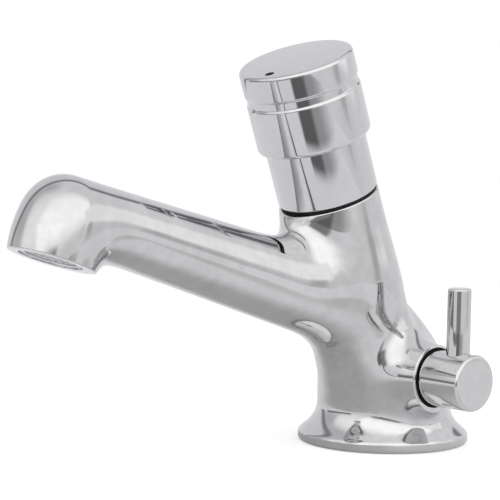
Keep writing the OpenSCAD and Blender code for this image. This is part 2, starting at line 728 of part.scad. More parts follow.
// Return spring: one tube along a helix between the cover and the button's boss
spring_rings = 8;
spring_sides = 6;
spring_s = cover_top_s + wire_d / 2 + fit;
spring_l = cap_boss_s - cover_top_s - wire_d - 2 * fit;
spring_step = spring_l / (spring_turns * spring_rings);
function spring_mid(i) = let (a = 360 * i / spring_rings)
    [spring_d / 2 * cos(a), spring_d / 2 * sin(a), spring_s + i * spring_step];
function spring_ring(i) = let (
    a = 360 * i / spring_rings,
    out = [cos(a), sin(a), 0],
    rise = atan2(spring_step * spring_rings, PI * spring_d),
    up = [sin(a) * sin(rise), -cos(a) * sin(rise), cos(rise)])
    [for (k = [0 : spring_sides - 1]) let (b = 360 * k / spring_sides)
        spring_mid(i) + (out * cos(b) + up * sin(b)) * wire_d / 2];
module return_spring() {
    count = spring_turns * spring_rings;
    points = [for (i = [0 : count]) each spring_ring(i)];
    sides = [for (i = [0 : count - 1]) for (k = [0 : spring_sides - 1]) let (
        a = i * spring_sides + k,
        b = i * spring_sides + (k + 1) % spring_sides)
        each [[a, a + spring_sides, b + spring_sides], [a, b + spring_sides, b]]];
    start = [for (k = [0 : spring_sides - 1]) k];
    end = [for (k = [spring_sides - 1 : -1 : 0]) count * spring_sides + k];
    gaps = [for (i = [0 : count - spring_rings])
        norm(spring_mid(i + spring_rings) - spring_mid(i)) - wire_d];
    echo(least_gap_of_return_spring = min(gaps));
    color(steel) on_head() polyhedron(points, concat(sides, [start], [end]), convexity = 8);
}

module push_cap() {
    bevel_w = groove_w / 2 + groove_deep;
    inner_r = cap_r - groove_deep;
    color(chrome) on_head() difference() {
        rotate_extrude() union() {
            difference() {
                translate([0, skirt_s]) square([cap_r, cap_h]);
                translate([cap_r - cap_round, cap_top_s - cap_round]) square(cap_round + over);
                translate([cap_r - skirt_round, skirt_s - over]) square(skirt_round + over);
                polygon([[inner_r, groove_s - groove_w / 2], [inner_r, groove_s + groove_w / 2],
                    [cap_r + eps, groove_s + bevel_w + eps], [cap_r + eps, groove_s - bevel_w - eps]]);
            }
            translate([cap_r - cap_round, cap_top_s - cap_round]) circle(r = cap_round);
            translate([cap_r - skirt_round, skirt_s + skirt_round]) circle(r = skirt_round);
        }
        translate([0, 0, skirt_s - over]) washer(skirt_bore_r, cap_boss_d / 2, ceiling_s - skirt_s + over);
        translate([0, 0, skirt_s - over]) cylinder(r = skirt_bore_r, h = cap_boss_s - skirt_s + over);
        translate([0, 0, cap_boss_s - over]) cylinder(r = stem_r + fit, h = stem_top_s - cap_boss_s + over);
        marker_place() cylinder(d = marker_d + 2 * fit, h = marker_t + over);
    }
}
module marker_place() {
    translate([0, 0, cap_top_s - marker_t]) rotate(marker_turn)
        translate([0, marker_in - cap_r, 0]) children();
}
module cap_marker() {
    color(rubber) on_head() marker_place() cylinder(d = marker_d, h = marker_t - fit);
}
module push_stem() {
    flange_r = stem_r + stem_flange;
    color(steel) on_head() rotate_extrude() polygon([
        [0, nut_s], [stem_tail_r, nut_s], [stem_tail_r, valve_top_s], [stem_r, valve_top_s],
        [stem_r, piston_s - stem_flange], [flange_r, piston_s - stem_flange], [flange_r, piston_s],
        [stem_r, piston_s], [stem_r, stem_top_s], [0, stem_top_s]]);
}
module piston() {
    piston_r = cylinder_d / 2 - run;
    color(plastic) on_head(piston_s) difference() {
        washer(piston_r, stem_r + fit, piston_l);
        translate([0, 0, lip_s - piston_s]) washer(piston_r + over, piston_r - lip_deep, lip_w);
    }
}
module piston_lip_seal() {
    lip_r = cylinder_d / 2 - fit;
    root_r = cylinder_d / 2 - run - lip_deep + fit;
    lip_t = (lip_r - root_r) / 2;
    color(rubber) on_head(lip_s) rotate_extrude() polygon([
        [root_r, fit], [lip_r - fit, fit], [lip_r, lip_t], [lip_r - lip_t / 2, lip_t],
        [root_r + lip_t, lip_t + fit], [root_r + lip_t, lip_w - fit], [root_r, lip_w - fit]]);
}
module valve_disc() {
    color(rubber) on_head(valve_s) washer(valve_d / 2, stem_tail_r + fit, valve_t);
}
module valve_nut() {
    color(brass) on_head(nut_s) difference() {
        cylinder(d = nut_d, h = nut_t, $fn = 6);
        translate([0, 0, -over]) cylinder(r = stem_tail_r + fit, h = nut_t + 2 * over);
    }
}

module side_port_seal() {
    color(rubber) difference() {
        on_lever(side_floor) cylinder(r = carrier_r, h = port_seal_t);
        side_ports(side_floor - over, port_seal_t + 2 * over);
    }
}
module fixed_ceramic_disc() {
    color(ceramic) difference() {
        on_lever(seal_x) cylinder(r = disc_r, h = disc_t);
        side_ports(seal_x - over, disc_t + 2 * over);
    }
}
module side_carrier() {
    color(plastic) on_lever(seal_x) difference() {
        cylinder(r = carrier_r, h = gland_x - seal_x);
        translate([0, 0, -over]) cylinder(r = carrier_r - carrier_wall, h = carrier_x - seal_x + over);
        cylinder(r = mix_stem_r + run, h = gland_x);
    }
}
module side_gland_nut() {
    ring_room = mix_ring_d + 2 * fit;
    color(brass) on_lever() difference() {
        union() {
            translate([0, 0, gland_x]) cylinder(r = carrier_r, h = gland_top_x - gland_x);
            translate([0, 0, recess_x]) cylinder(r = hub_r - fit, h = gland_flange_t);
        }
        cylinder(r = mix_stem_r + run, h = hub_face_x);
        translate([0, 0, mix_ring_x - ring_room / 2])
            cylinder(r = mix_ring_mid_r + ring_room / 2, h = ring_room);
    }
}
module lever_dust_seal() {
    color(rubber) on_lever(recess_x) washer(hub_recess_r - fit, hub_r + free, gland_flange_t);
}
module mixing_stem_o_ring() {
    color(rubber) on_lever(mix_ring_x) ring(mix_ring_mid_r, mix_ring_d);
}
module moving_ceramic_disc() {
    slot_w = side_port_d;
    color(ceramic) on_lever(moving_x) difference() {
        cylinder(r = disc_r - free, h = disc_t);
        translate([0, 0, -over]) linear_extrude(disc_t / 2 + over) difference() {
            circle(r = port_circle + slot_w / 2);
            circle(r = port_circle - slot_w / 2);
            translate([0, -disc_r]) square([disc_r, 2 * disc_r]);
        }
    }
}
module drive_form(r, flat_r, h) {
    intersection() {
        cylinder(r = r, h = h);
        translate([-r, -r, 0]) cube([r + flat_r, 2 * r, h]);
    }
}
module mixing_stem() {
    shank_x = mix_flange_x + mix_flange_t;
    color(brass) on_lever() {
        translate([0, 0, mix_flange_x]) cylinder(r = disc_r - free, h = mix_flange_t);
        translate([0, 0, shank_x - eps]) cylinder(r = mix_stem_r, h = hub_x - shank_x + eps);
        translate([0, 0, hub_x - eps]) drive_form(mix_drive_d / 2, drive_flat_r, drive_x - hub_x + eps);
    }
}

// Places of the pin and of the grub screw on the hub
module on_pin(z) {
    translate([pin_x, -lever_fwd, lever_h + z]) children();
}
module under_grub(z) {
    translate([grub_x, -lever_fwd, lever_h - z]) rotate([180, 0, 0]) children();
}
module lever_hub() {
    color(chrome) difference() {
        on_lever() rotate_extrude() polygon([
            [0, hub_x], [hub_r - hub_bevel, hub_x], [hub_r, hub_x + hub_bevel],
            [hub_r, hub_face_x - hub_bevel], [hub_r - hub_bevel, hub_face_x], [0, hub_face_x]]);
        on_lever(hub_x - over)
            drive_form(mix_drive_d / 2 + fit, drive_flat_r + fit, drive_x - hub_x + over + fit);
        on_pin(hub_r - pin_spigot_l) cylinder(d = pin_spigot_d + 2 * fit, h = hub_r);
        under_grub(drive_flat_r) cylinder(d = grub_d + 2 * fit, h = hub_r);
    }
}
module lever_pin() {
    pin_r = pin_d / 2;
    saddle = hub_r - pin_r / 2;
    color(chrome) on_pin(0) {
        difference() {
            rotate_extrude() polygon([[0, saddle], [pin_r, saddle], [pin_r, pin_l - pin_bevel],
                [pin_r - pin_bevel, pin_l], [0, pin_l]]);
            translate([-pin_d, 0, 0]) rotate([0, 90, 0]) cylinder(r = hub_r + fit, h = 2 * pin_d);
        }
        translate([0, 0, hub_r - pin_spigot_l + fit])
            cylinder(d = pin_spigot_d, h = pin_spigot_l + pin_spigot_d / 2);
    }
}
module hub_grub_screw() {
    grub_l = hub_r - drive_flat_r - hub_bevel;
    socket_d = grub_d / 2;
    color(steel) under_grub(drive_flat_r + fit) difference() {
        cylinder(d = grub_d, h = grub_l);
        translate([0, 0, grub_l / 2]) cylinder(d = socket_d, h = grub_l, $fn = 6);
    }
}

tap_body();
base_gasket();
aerator_housing();
aerator_insert();
aerator_washer();
head_sleeve();
sleeve_seal();
cartridge_housing();
cartridge_o_rings();
cartridge_cover();
seat_washer();
return_spring();
side_port_seal();
fixed_ceramic_disc();
side_carrier();
side_gland_nut();
lever_dust_seal();
mixing_stem_o_ring();
push_cap();
cap_marker();
push_stem();
piston();
piston_lip_seal();
valve_disc();
valve_nut();
lever_hub();
lever_pin();
hub_grub_screw();
mixing_stem();
moving_ceramic_disc();
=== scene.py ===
"""Dressed model of a push timed basin tap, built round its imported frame.

Sizes in the classes are in millimetres. Meshes are in metres, in the frame's own axes: Z up from the deck, the
spout toward -Y and the lever toward +X.
"""

from __future__ import annotations

import logging
import math
from collections.abc import Sequence
from dataclasses import dataclass, field, replace
from enum import Enum
from functools import cached_property
from itertools import product

import bmesh
import bpy
import numpy as np
from mathutils import Matrix, Vector

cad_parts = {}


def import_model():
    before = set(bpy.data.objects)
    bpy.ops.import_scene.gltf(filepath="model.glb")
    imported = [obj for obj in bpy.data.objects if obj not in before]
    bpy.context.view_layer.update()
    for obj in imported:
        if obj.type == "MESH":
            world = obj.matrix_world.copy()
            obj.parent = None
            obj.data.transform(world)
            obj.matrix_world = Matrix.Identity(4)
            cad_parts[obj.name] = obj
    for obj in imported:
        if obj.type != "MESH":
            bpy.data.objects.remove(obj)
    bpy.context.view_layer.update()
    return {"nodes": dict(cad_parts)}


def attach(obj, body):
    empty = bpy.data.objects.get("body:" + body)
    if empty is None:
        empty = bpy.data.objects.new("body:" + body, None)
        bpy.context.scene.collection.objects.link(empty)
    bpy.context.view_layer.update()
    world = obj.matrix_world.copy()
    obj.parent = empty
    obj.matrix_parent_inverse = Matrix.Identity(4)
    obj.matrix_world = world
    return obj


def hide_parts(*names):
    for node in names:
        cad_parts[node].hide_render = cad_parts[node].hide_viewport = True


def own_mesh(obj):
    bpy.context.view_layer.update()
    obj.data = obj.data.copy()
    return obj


LOG = logging.getLogger("tap")
MM = 0.001
SEGMENTS = 192
SHARP_ANGLE = math.radians(34)
MERGE_DISTANCE = 1e-7
CUT_TOLERANCE = 1e-6
GRAIN_PER_FILM = 6.0
BLEND_BAND = 1.5
TINY = 1e-6
WHITE = (1.0, 1.0, 1.0, 1.0)

Node = bpy.types.Node
Socket = bpy.types.NodeSocket
Tree = bpy.types.NodeTree
Triple = tuple[float, float, float]
Bores = tuple[tuple[float, float], ...]


class Slot(Enum):
    """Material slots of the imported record."""

    CHROME = "chrome_plate"
    BRASS = "machined_brass"
    STEEL = "bright_steel"
    RUBBER = "black_rubber"
    CERAMIC = "white_ceramic"
    GREY = "grey_plastic"
    SATIN = "satin_chrome_plastic"
    ENAMEL = "black_enamel"


class Body(Enum):
    """Bodies of the frame that pieces ride on."""

    TAP = "tap"
    BUTTON = "button"
    LEVER = "lever"


class Graph:
    """Adds nodes to one node tree and links them."""

    # Sockets of a Mix node that mixes colours: factor, first and second colour, and result.
    mix_inputs = (0, 6, 7)
    mix_output = 2

    def __init__(self, tree: Tree) -> None:
        """Starts on the tree that gets the nodes."""
        self.tree = tree

    def add(self, kind: str, **settings: object) -> Node:
        """Adds one node.

        Args:
            kind: Type name of the node.
            **settings: Properties of the node.

        Returns:
            The new node.
        """
        node = self.tree.nodes.new(kind)
        for name, value in settings.items():
            setattr(node, name, value)
        return node

    def plug(self, target: Socket, value: object) -> None:
        """Links a socket to an input, or sets the input to a plain value.

        Args:
            target: Input of a node.
            value: Socket to link, or plain value.
        """
        if isinstance(value, Socket):
            self.tree.links.new(value, target)
        else:
            target.default_value = value

    def feed(self, node: Node, **inputs: object) -> Node:
        """Sets or links a node's inputs by name, with _ for a space.

        Args:
            node: Node to feed.
            **inputs: Sockets to link, or plain values.

        Returns:
            The same node.
        """
        for name, value in inputs.items():
            self.plug(node.inputs[name.replace("_", " ")], value)
        return node

    def group(self, tree: Tree, **inputs: object) -> Node:
        """Places a node group and feeds its inputs by name."""
        return self.feed(self.add("ShaderNodeGroup", node_tree=tree), **inputs)

    def math(self, operation: str, a: object, b: object = 0.0) -> Socket:
        """Adds a Math node.

        Args:
            operation: Name of the operation.
            a: First socket or number.
            b: Second socket or number.

        Returns:
            The node's output.
        """
        node = self.add("ShaderNodeMath", operation=operation)
        for target, value in zip(node.inputs, (a, b)):
            self.plug(target, value)
        return node.outputs[0]

    def vector(self, operation: str, *values: object) -> Node:
        """Adds a Vector Math node.

        Args:
            operation: Name of the operation.
            *values: Sockets or vectors, in order.

        Returns:
            The node.
        """
        node = self.add("ShaderNodeVectorMath", operation=operation)
        for target, value in zip(node.inputs, values):
            self.plug(target, value)
        return node

    def noise(self, position: Socket, scale: object, detail: float, stretch: Triple = (1, 1, 1)) -> Socket:
        """Adds a noise texture.

        Args:
            position: Socket with the place on the surface.
            scale: Cells per metre, a socket or a number.
            detail: Octaves of the noise.
            stretch: Scale of each axis.

        Returns:
            Value of the noise.
        """
        mapping = self.feed(self.add("ShaderNodeMapping"), Vector=position, Scale=stretch)
        node = self.feed(self.add("ShaderNodeTexNoise"), Vector=mapping.outputs[0], Scale=scale, Detail=detail)
        return node.outputs[0]

    def blend(self, factor: object, a: object, b: object) -> Socket:
        """Mixes two colours.

        Args:
            factor: Share of the second colour.
            a: First colour.
            b: Second colour.

        Returns:
            The mixed colour.
        """
        node = self.add("ShaderNodeMix", data_type="RGBA")
        for index, value in zip(self.mix_inputs, (factor, a, b)):
            self.plug(node.inputs[index], value)
        return node.outputs[self.mix_output]

    def span(self, value: Socket, low: float, high: float, start: object, end: object) -> Socket:
        """Maps a value's range to another, smoothly and within its ends.

        Args:
            value: Value to map.
            low: Where the range starts.
            high: Where it ends.
            start: Result at the start.
            end: Result at the end.

        Returns:
            The mapped value.
        """
        node = self.add("ShaderNodeMapRange", interpolation_type="SMOOTHSTEP")
        self.feed(node, Value=value, From_Min=low, From_Max=high, To_Min=start, To_Max=end)
        return node.outputs[0]


class Effects:
    """Node groups that several finishes share, each built on its first use."""

    film_detail = 3.0
    film_stretch = (1.0, 0.7, 1.6)
    film_range = (0.38, 0.68)
    wave_detail = 2.2
    wave_stretch = (1.0, 0.35, 1.0)
    mark_detail = 2.0
    grain_detail = 4.0
    grain_range = (0.35, 0.65)
    coarse_detail = 2.0
    coarse_scale = 0.12
    card_ahead = 0.02

    @staticmethod
    def start(name: str, inputs: dict[str, str], outputs: dict[str, str]) -> Graph:
        """Makes an empty group.

        Args:
            name: Name of the group.
            inputs: Socket type of each input.
            outputs: Socket type of each output.

        Returns:
            Graph of the group.
        """
        tree = bpy.data.node_groups.new(name, "ShaderNodeTree")
        for side, sockets in (("INPUT", inputs), ("OUTPUT", outputs)):
            for label, kind in sockets.items():
                tree.interface.new_socket(name=label, in_out=side, socket_type=f"NodeSocket{kind}")
        return Graph(tree)

    @cached_property
    def handling_film(self) -> Tree:
        """Roughness that varies as a wiped surface does, between two values.

        Returns:
            The group.
        """
        inputs = {"Position": "Vector", "Scale": "Float", "Clean": "Float", "Worn": "Float"}
        graph = self.start("handling_film", inputs, {"Roughness": "Float"})
        given = graph.add("NodeGroupInput").outputs
        broad = graph.noise(given["Position"], given["Scale"], self.film_detail, self.film_stretch)
        result = graph.span(broad, *self.film_range, given["Clean"], given["Worn"])
        graph.feed(graph.add("NodeGroupOutput"), Roughness=result)
        return graph.tree

    @cached_property
    def polish_waves(self) -> Tree:
        """Height of the slow waves that hand polishing leaves on a casting.

        Returns:
            The group.
        """
        graph = self.start("polish_waves", {"Position": "Vector", "Scale": "Float"}, {"Height": "Float"})
        given = graph.add("NodeGroupInput").outputs
        slow = graph.noise(given["Position"], given["Scale"], self.wave_detail, self.wave_stretch)
        graph.feed(graph.add("NodeGroupOutput"), Height=slow)
        return graph.tree

    @cached_property
    def turning_marks(self) -> Tree:
        """Height of the fine rings that a lathe leaves round an axis along Z.

        Returns:
            The group.
        """
        graph = self.start("turning_marks", {"Position": "Vector", "Scale": "Float"}, {"Height": "Float"})
        given = graph.add("NodeGroupInput").outputs
        parts = graph.feed(graph.add("ShaderNodeSeparateXYZ"), Vector=given["Position"])
        across = graph.math("POWER", parts.outputs[0], 2.0)
        deep = graph.math("POWER", parts.outputs[1], 2.0)
        radius = graph.math("SQRT", graph.math("ADD", across, deep))
        place = graph.feed(graph.add("ShaderNodeCombineXYZ"), X=radius, Y=parts.outputs[2])
        rings = graph.noise(place.outputs[0], given["Scale"], self.mark_detail)
        graph.feed(graph.add("NodeGroupOutput"), Height=rings)
        return graph.tree

    @cached_property
    def fine_grain(self) -> Tree:
        """Mottled colour and height of a moulded, cast or fired surface.

        Returns:
            The group.
        """
        inputs = {"Position": "Vector", "Scale": "Float", "Dark": "Color", "Pale": "Color"}
        graph = self.start("fine_grain", inputs, {"Color": "Color", "Height": "Float"})
        given = graph.add("NodeGroupInput").outputs
        fine = graph.noise(given["Position"], given["Scale"], self.grain_detail)
        coarse_scale = graph.math("MULTIPLY", given["Scale"], self.coarse_scale)
        coarse = graph.noise(given["Position"], coarse_scale, self.coarse_detail)
        share = graph.math("MULTIPLY", graph.math("ADD", fine, coarse), 0.5)
        colour = graph.blend(graph.span(share, *self.grain_range, 0.0, 1.0), given["Dark"], given["Pale"])
        graph.feed(graph.add("NodeGroupOutput"), Color=colour, Height=fine)
        return graph.tree

    @cached_property
    def card_mask(self) -> Tree:
        """Mask of a card by direction, with soft edges.

        Returns:
            The group.
        """
        inputs = {name: "Vector" for name in ("Direction", "Toward", "Wide", "Tall")}
        inputs.update({name: "Float" for name in ("Width", "Height", "Soft")})
        graph = self.start("card_mask", inputs, {"Mask": "Float"})
        given = graph.add("NodeGroupInput").outputs

        def along(name: str) -> Socket:
            """Share of the direction along one of the card's vectors."""
            return graph.vector("DOT_PRODUCT", given["Direction"], given[name]).outputs["Value"]

        ahead = graph.math("MAXIMUM", along("Toward"), self.card_ahead)
        mask = graph.math("GREATER_THAN", along("Toward"), self.card_ahead)
        for name, size in (("Wide", "Width"), ("Tall", "Height")):
            offset = graph.math("ABSOLUTE", graph.math("DIVIDE", along(name), ahead))
            inset = graph.math("DIVIDE", graph.math("SUBTRACT", given[size], offset), given["Soft"])
            mask = graph.math("MULTIPLY", mask, graph.span(inset, -1.0, 1.0, 0.0, 1.0))
        graph.feed(graph.add("NodeGroupOutput"), Mask=mask)
        return graph.tree


EFFECTS = Effects()


@dataclass(frozen=True)
class Axis:
    """Straight line that turned pieces are built round."""

    origin: Triple
    along: Triple
    across: Triple

    def frame(self) -> np.ndarray:
        """Unit vectors across, beside and along the axis, as rows."""
        along, across = np.array(self.along), np.array(self.across)
        return np.array([across, np.cross(along, across), along])

    def points(self, radius: np.ndarray, turn: np.ndarray, height: np.ndarray) -> np.ndarray:
        """Places points round the axis.

        Args:
            radius: Distances from the axis.
            turn: Turns about it, in radians.
            height: Distances along it.

        Returns:
            The points, in metres.
        """
        local = np.stack(np.broadcast_arrays(radius * np.cos(turn), radius * np.sin(turn), height), -1)
        return (np.array(self.origin) + local @ self.frame()) * MM

    def local(self, points: np.ndarray) -> np.ndarray:
        """Coordinates across, beside and along the axis, in millimetres, of points in metres."""
        return (points / MM - np.array(self.origin)) @ self.frame().T

    def shifted(self, distance: float) -> Axis:
        """The same axis with its origin moved along it."""
        moved = np.array(self.origin) + np.array(self.along) * distance
        return Axis(tuple(moved), self.along, self.across)

    def matrix(self) -> Matrix:
        """Matrix from the axis's own coordinates to the frame, in metres."""
        rows = Matrix([list(r) for r in self.frame().T]).to_4x4()
        return Matrix.Translation(Vector(self.origin) * MM) @ rows


@dataclass(frozen=True)
class Finish:
    """Base of the finishes: a named material in one slot."""

    name: str
    slot: Slot
    dark: Triple
    pale: Triple
    metallic: float
    clean: float
    worn: float
    film_scale: float

    def material(self) -> bpy.types.Material:
        """Material of the finish, built on its first use.

        Returns:
            The material.
        """
        made = bpy.data.materials.get(self.name)
        if made is None:
            made = bpy.data.materials.new(self.name)
            made.use_nodes = True
            self.nodes(Graph(made.node_tree))
            made.diffuse_color = (*self.pale, 1.0)
        return made

    def nodes(self, graph: Graph) -> Node:
        """Builds what all finishes share: mottled colour and a wiped film.

        Args:
            graph: Graph of the material.

        Returns:
            The shader node.
        """
        shader = graph.tree.nodes["Principled BSDF"]
        place = graph.add("ShaderNodeTexCoord").outputs["Object"]
        film = graph.group(EFFECTS.handling_film, Position=place, Scale=self.film_scale)
        graph.feed(film, Clean=self.clean, Worn=self.worn)
        grain = graph.group(EFFECTS.fine_grain, Position=place, Scale=self.film_scale * GRAIN_PER_FILM)
        graph.feed(grain, Dark=(*self.dark, 1.0), Pale=(*self.pale, 1.0))
        grain.name = "grain"
        graph.feed(shader, Base_Color=grain.outputs["Color"], Roughness=film.outputs["Roughness"])
        return graph.feed(shader, Metallic=self.metallic)

    @staticmethod
    def relief(graph: Graph, shader: Node, height: Socket, depth: float) -> None:
        """Adds a bump to the shader's normal.

        Args:
            graph: Graph of the material.
            shader: Shader that gets the normal.
            height: Height of the relief.
            depth: Depth of the relief, in millimetres.
        """
        bump = graph.feed(graph.add("ShaderNodeBump"), Height=height, Distance=depth * MM, Strength=1.0)
        graph.feed(shader, Normal=bump.outputs[0])


@dataclass(frozen=True)
class PolishedCasting(Finish):
    """Plated casting, with the slow waves of hand polishing."""

    wave_scale: float
    wave_depth: float

    def nodes(self, graph: Graph) -> Node:
        """Adds the waves to the shared nodes.

        Args:
            graph: Graph of the material.

        Returns:
            The shader node.
        """
        shader = super().nodes(graph)
        place = graph.add("ShaderNodeTexCoord").outputs["Object"]
        waves = graph.group(EFFECTS.polish_waves, Position=place, Scale=self.wave_scale)
        self.relief(graph, shader, waves.outputs["Height"], self.wave_depth)
        return shader


@dataclass(frozen=True)
class TurnedMetal(Finish):
    """Metal turned on a lathe, with fine rings round its axis."""

    axis: Axis
    mark_scale: float
    mark_depth: float

    def nodes(self, graph: Graph) -> Node:
        """Adds the turning marks to the shared nodes.

        Args:
            graph: Graph of the material.

        Returns:
            The shader node.
        """
        shader = super().nodes(graph)
        place = graph.add("ShaderNodeTexCoord").outputs["Object"]
        inward = self.axis.matrix().inverted()
        mapping = graph.add("ShaderNodeMapping")
        graph.feed(mapping, Vector=place, Location=inward.translation, Rotation=inward.to_euler())
        marks = graph.group(EFFECTS.turning_marks, Position=mapping.outputs[0], Scale=self.mark_scale)
        self.relief(graph, shader, marks.outputs["Height"], self.mark_depth)
        return shader


@dataclass(frozen=True)
class MouldedStuff(Finish):
    """Moulded rubber or plastic, fired ceramic or enamel, with a fine grain."""

    grain_depth: float
    shine: float = 0.5

    def nodes(self, graph: Graph) -> Node:
        """Adds the grain's relief to the shared nodes.

        Args:
            graph: Graph of the material.

        Returns:
            The shader node.
        """
        shader = graph.feed(super().nodes(graph), Specular_IOR_Level=self.shine)
        self.relief(graph, shader, graph.tree.nodes["grain"].outputs["Height"], self.grain_depth)
        return shader


@dataclass(frozen=True)
class Corner:
    """Corner of a turned piece's profile: radius, place along the axis and rounding."""

    r: float
    s: float
    soft: float = 0.0


def soften(corners: Sequence[Corner], steps: int = 7) -> np.ndarray:
    """Rounds the corners of a closed profile.

    Args:
        corners: Corners in order.
        steps: Spans of each rounding.

    Returns:
        Radius and height of each point.
    """
    out: list[np.ndarray] = []
    for i, corner in enumerate(corners):
        here = np.array([corner.r, corner.s])
        before, after = corners[i - 1], corners[(i + 1) % len(corners)]
        u, v = np.array([before.r, before.s]) - here, np.array([after.r, after.s]) - here
        if corner.soft <= 0:
            out.append(here)
            continue
        u, v = u / np.linalg.norm(u), v / np.linalg.norm(v)
        half = math.acos(float(np.clip(u @ v, -1, 1))) / 2
        centre = here + (u + v) / np.linalg.norm(u + v) * corner.soft / math.sin(half)
        reach = corner.soft / math.tan(half)
        first, last = here + u * reach - centre, here + v * reach - centre
        start = math.atan2(first[1], first[0])
        swing = math.remainder(math.atan2(last[1], last[0]) - start, 2 * math.pi)
        for step in range(steps + 1):
            angle = start + swing * step / steps
            out.append(centre + corner.soft * np.array([math.cos(angle), math.sin(angle)]))
    return np.array(out)


def placed(name: str, mesh: bpy.types.Mesh, finish: Finish) -> bpy.types.Object:
    """Puts a mesh in the scene as an object with a finish.

    Args:
        name: Name of the piece.
        mesh: Its mesh.
        finish: Finish of the piece.

    Returns:
        The object.
    """
    mesh.materials.append(finish.material())
    made = bpy.data.objects.new(name, mesh)
    bpy.context.scene.collection.objects.link(made)
    return made


def mesh_object(name: str, points: np.ndarray, faces: Sequence[Sequence[int]], finish: Finish) -> bpy.types.Object:
    """Makes a smooth mesh object from points and faces.

    Args:
        name: Name of the piece.
        points: Points, in metres.
        faces: Point numbers of each face.
        finish: Finish of the piece.

    Returns:
        The object.
    """
    mesh = bpy.data.meshes.new(name)
    mesh.from_pydata(points.tolist(), [], [list(map(int, f)) for f in faces])
    bm = bmesh.new()
    bm.from_mesh(mesh)
    bmesh.ops.remove_doubles(bm, verts=bm.verts, dist=MERGE_DISTANCE)
    bmesh.ops.recalc_face_normals(bm, faces=bm.faces)
    bm.to_mesh(mesh)
    bm.free()
    mesh.shade_smooth()
    mesh.set_sharp_from_angle(angle=SHARP_ANGLE)
    return placed(name, mesh, finish)


def lathe(name: str, points: np.ndarray, finish: Finish) -> bpy.types.Object:
    """Closes rows of points round an axis into one piece.

    Args:
        name: Name of the piece.
        points: Points by turn and then along the closed profile, in metres.
        finish: Finish of the piece.

    Returns:
        The object.
    """
    turns, count = points.shape[:2]
    here = np.arange(turns * count).reshape(turns, count)
    beside = np.roll(here, -1, axis=0)
    faces = np.stack([here, beside, np.roll(beside, -1, axis=1), np.roll(here, -1, axis=1)], -1)
    return mesh_object(name, points.reshape(-1, 3), faces.reshape(-1, 4), finish)


def full_turn() -> np.ndarray:
    """Even turns about an axis, in radians, as a column."""
    return np.linspace(0, 2 * math.pi, SEGMENTS, endpoint=False)[:, None]


def seat(piece: bpy.types.Object, body: Body, finish: Finish, *nodes: str) -> None:
    """Puts a piece on its body in place of the nodes that it stands for.

    Args:
        piece: The piece.
        body: Body that it rides on.
        finish: Finish of the piece; not used.
        *nodes: Nodes that it replaces.
    """
    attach(piece, body.value)
    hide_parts(*nodes)
    LOG.info("%s: %d faces, in place of %s", piece.name, len(piece.data.polygons), ", ".join(nodes))


def turned(name: str, axis: Axis, corners: Sequence[Corner], finish: Finish, body: Body, node: str) -> None:
    """Makes a piece of revolution and seats it in place of a node.

    Args:
        name: Name of the piece.
        axis: Axis of the piece.
        corners: Corners of its closed profile.
        finish: Finish of the piece.
        body: Body that it rides on.
        node: Node that it replaces.
    """
    profile = soften(corners)
    points = axis.points(profile[None, :, 0], full_turn(), profile[None, :, 1])
    seat(lathe(name, points, finish), body, finish, node)


def tilted(degrees: float) -> Triple:
    """Direction in the middle plane that leans from up toward the spout."""
    return (0.0, -math.sin(math.radians(degrees)), math.cos(math.radians(degrees)))


def level(azimuth: float) -> Vector:
    """Level direction across a line of sight from an azimuth in degrees."""
    return Vector((math.cos(math.radians(azimuth)), math.sin(math.radians(azimuth)), 0.0))


def heading(azimuth: float, elevation: float) -> Vector:
    """Direction from the tap toward an azimuth and elevation in degrees."""
    a, e = math.radians(azimuth), math.radians(elevation)
    return Vector((math.sin(a) * math.cos(e), -math.cos(a) * math.cos(e), math.sin(e)))


HEAD = Axis((0.0, 2.35, 0.0), tilted(20.3), (1.0, 0.0, 0.0))
OUTLET = Axis((0.0, -135.8, 65.0), tilted(-19.5), (1.0, 0.0, 0.0))
LEVER = Axis((0.0, -5.06, 23.6), (1.0, 0.0, 0.0), (0.0, 1.0, 0.0))
DECK = Axis((0.0, 0.0, 0.0), (0.0, 0.0, -1.0), (1.0, 0.0, 0.0))

CAST_CHROME = PolishedCasting(
    "cast_chrome", Slot.CHROME, dark=(0.60, 0.60, 0.607), pale=(0.68, 0.68, 0.687), metallic=1.0, clean=0.015,
    worn=0.05, film_scale=45.0, wave_scale=50.0, wave_depth=0.15,
)
HEAD_CHROME = TurnedMetal(
    "turned_head_chrome", Slot.CHROME, dark=(0.64, 0.64, 0.655), pale=(0.67, 0.67, 0.685), metallic=1.0, clean=0.03,
    worn=0.07, film_scale=60.0, axis=HEAD, mark_scale=900.0, mark_depth=0.0012,
)
LEVER_CHROME = TurnedMetal(
    "turned_lever_chrome", Slot.CHROME, dark=(0.62, 0.62, 0.625), pale=(0.66, 0.66, 0.665), metallic=1.0, clean=0.03,
    worn=0.06, film_scale=60.0, axis=LEVER, mark_scale=900.0, mark_depth=0.0012,
)
HEAD_BRASS = TurnedMetal(
    "turned_head_brass", Slot.BRASS, dark=(0.50, 0.33, 0.12), pale=(0.66, 0.46, 0.19), metallic=1.0, clean=0.18,
    worn=0.34, film_scale=90.0, axis=HEAD, mark_scale=2200.0, mark_depth=0.02,
)
LEVER_BRASS = replace(HEAD_BRASS, name="turned_lever_brass", axis=LEVER)
HEAD_STEEL = TurnedMetal(
    "turned_steel", Slot.STEEL, dark=(0.42, 0.42, 0.43), pale=(0.58, 0.58, 0.59), metallic=1.0, clean=0.18,
    worn=0.30, film_scale=120.0, axis=HEAD, mark_scale=2400.0, mark_depth=0.01,
)
RUBBER = MouldedStuff(
    "black_seal_rubber", Slot.RUBBER, dark=(0.006, 0.006, 0.007), pale=(0.016, 0.016, 0.017), metallic=0.0, clean=0.55,
    worn=0.75, film_scale=140.0, grain_depth=0.02, shine=0.2,
)
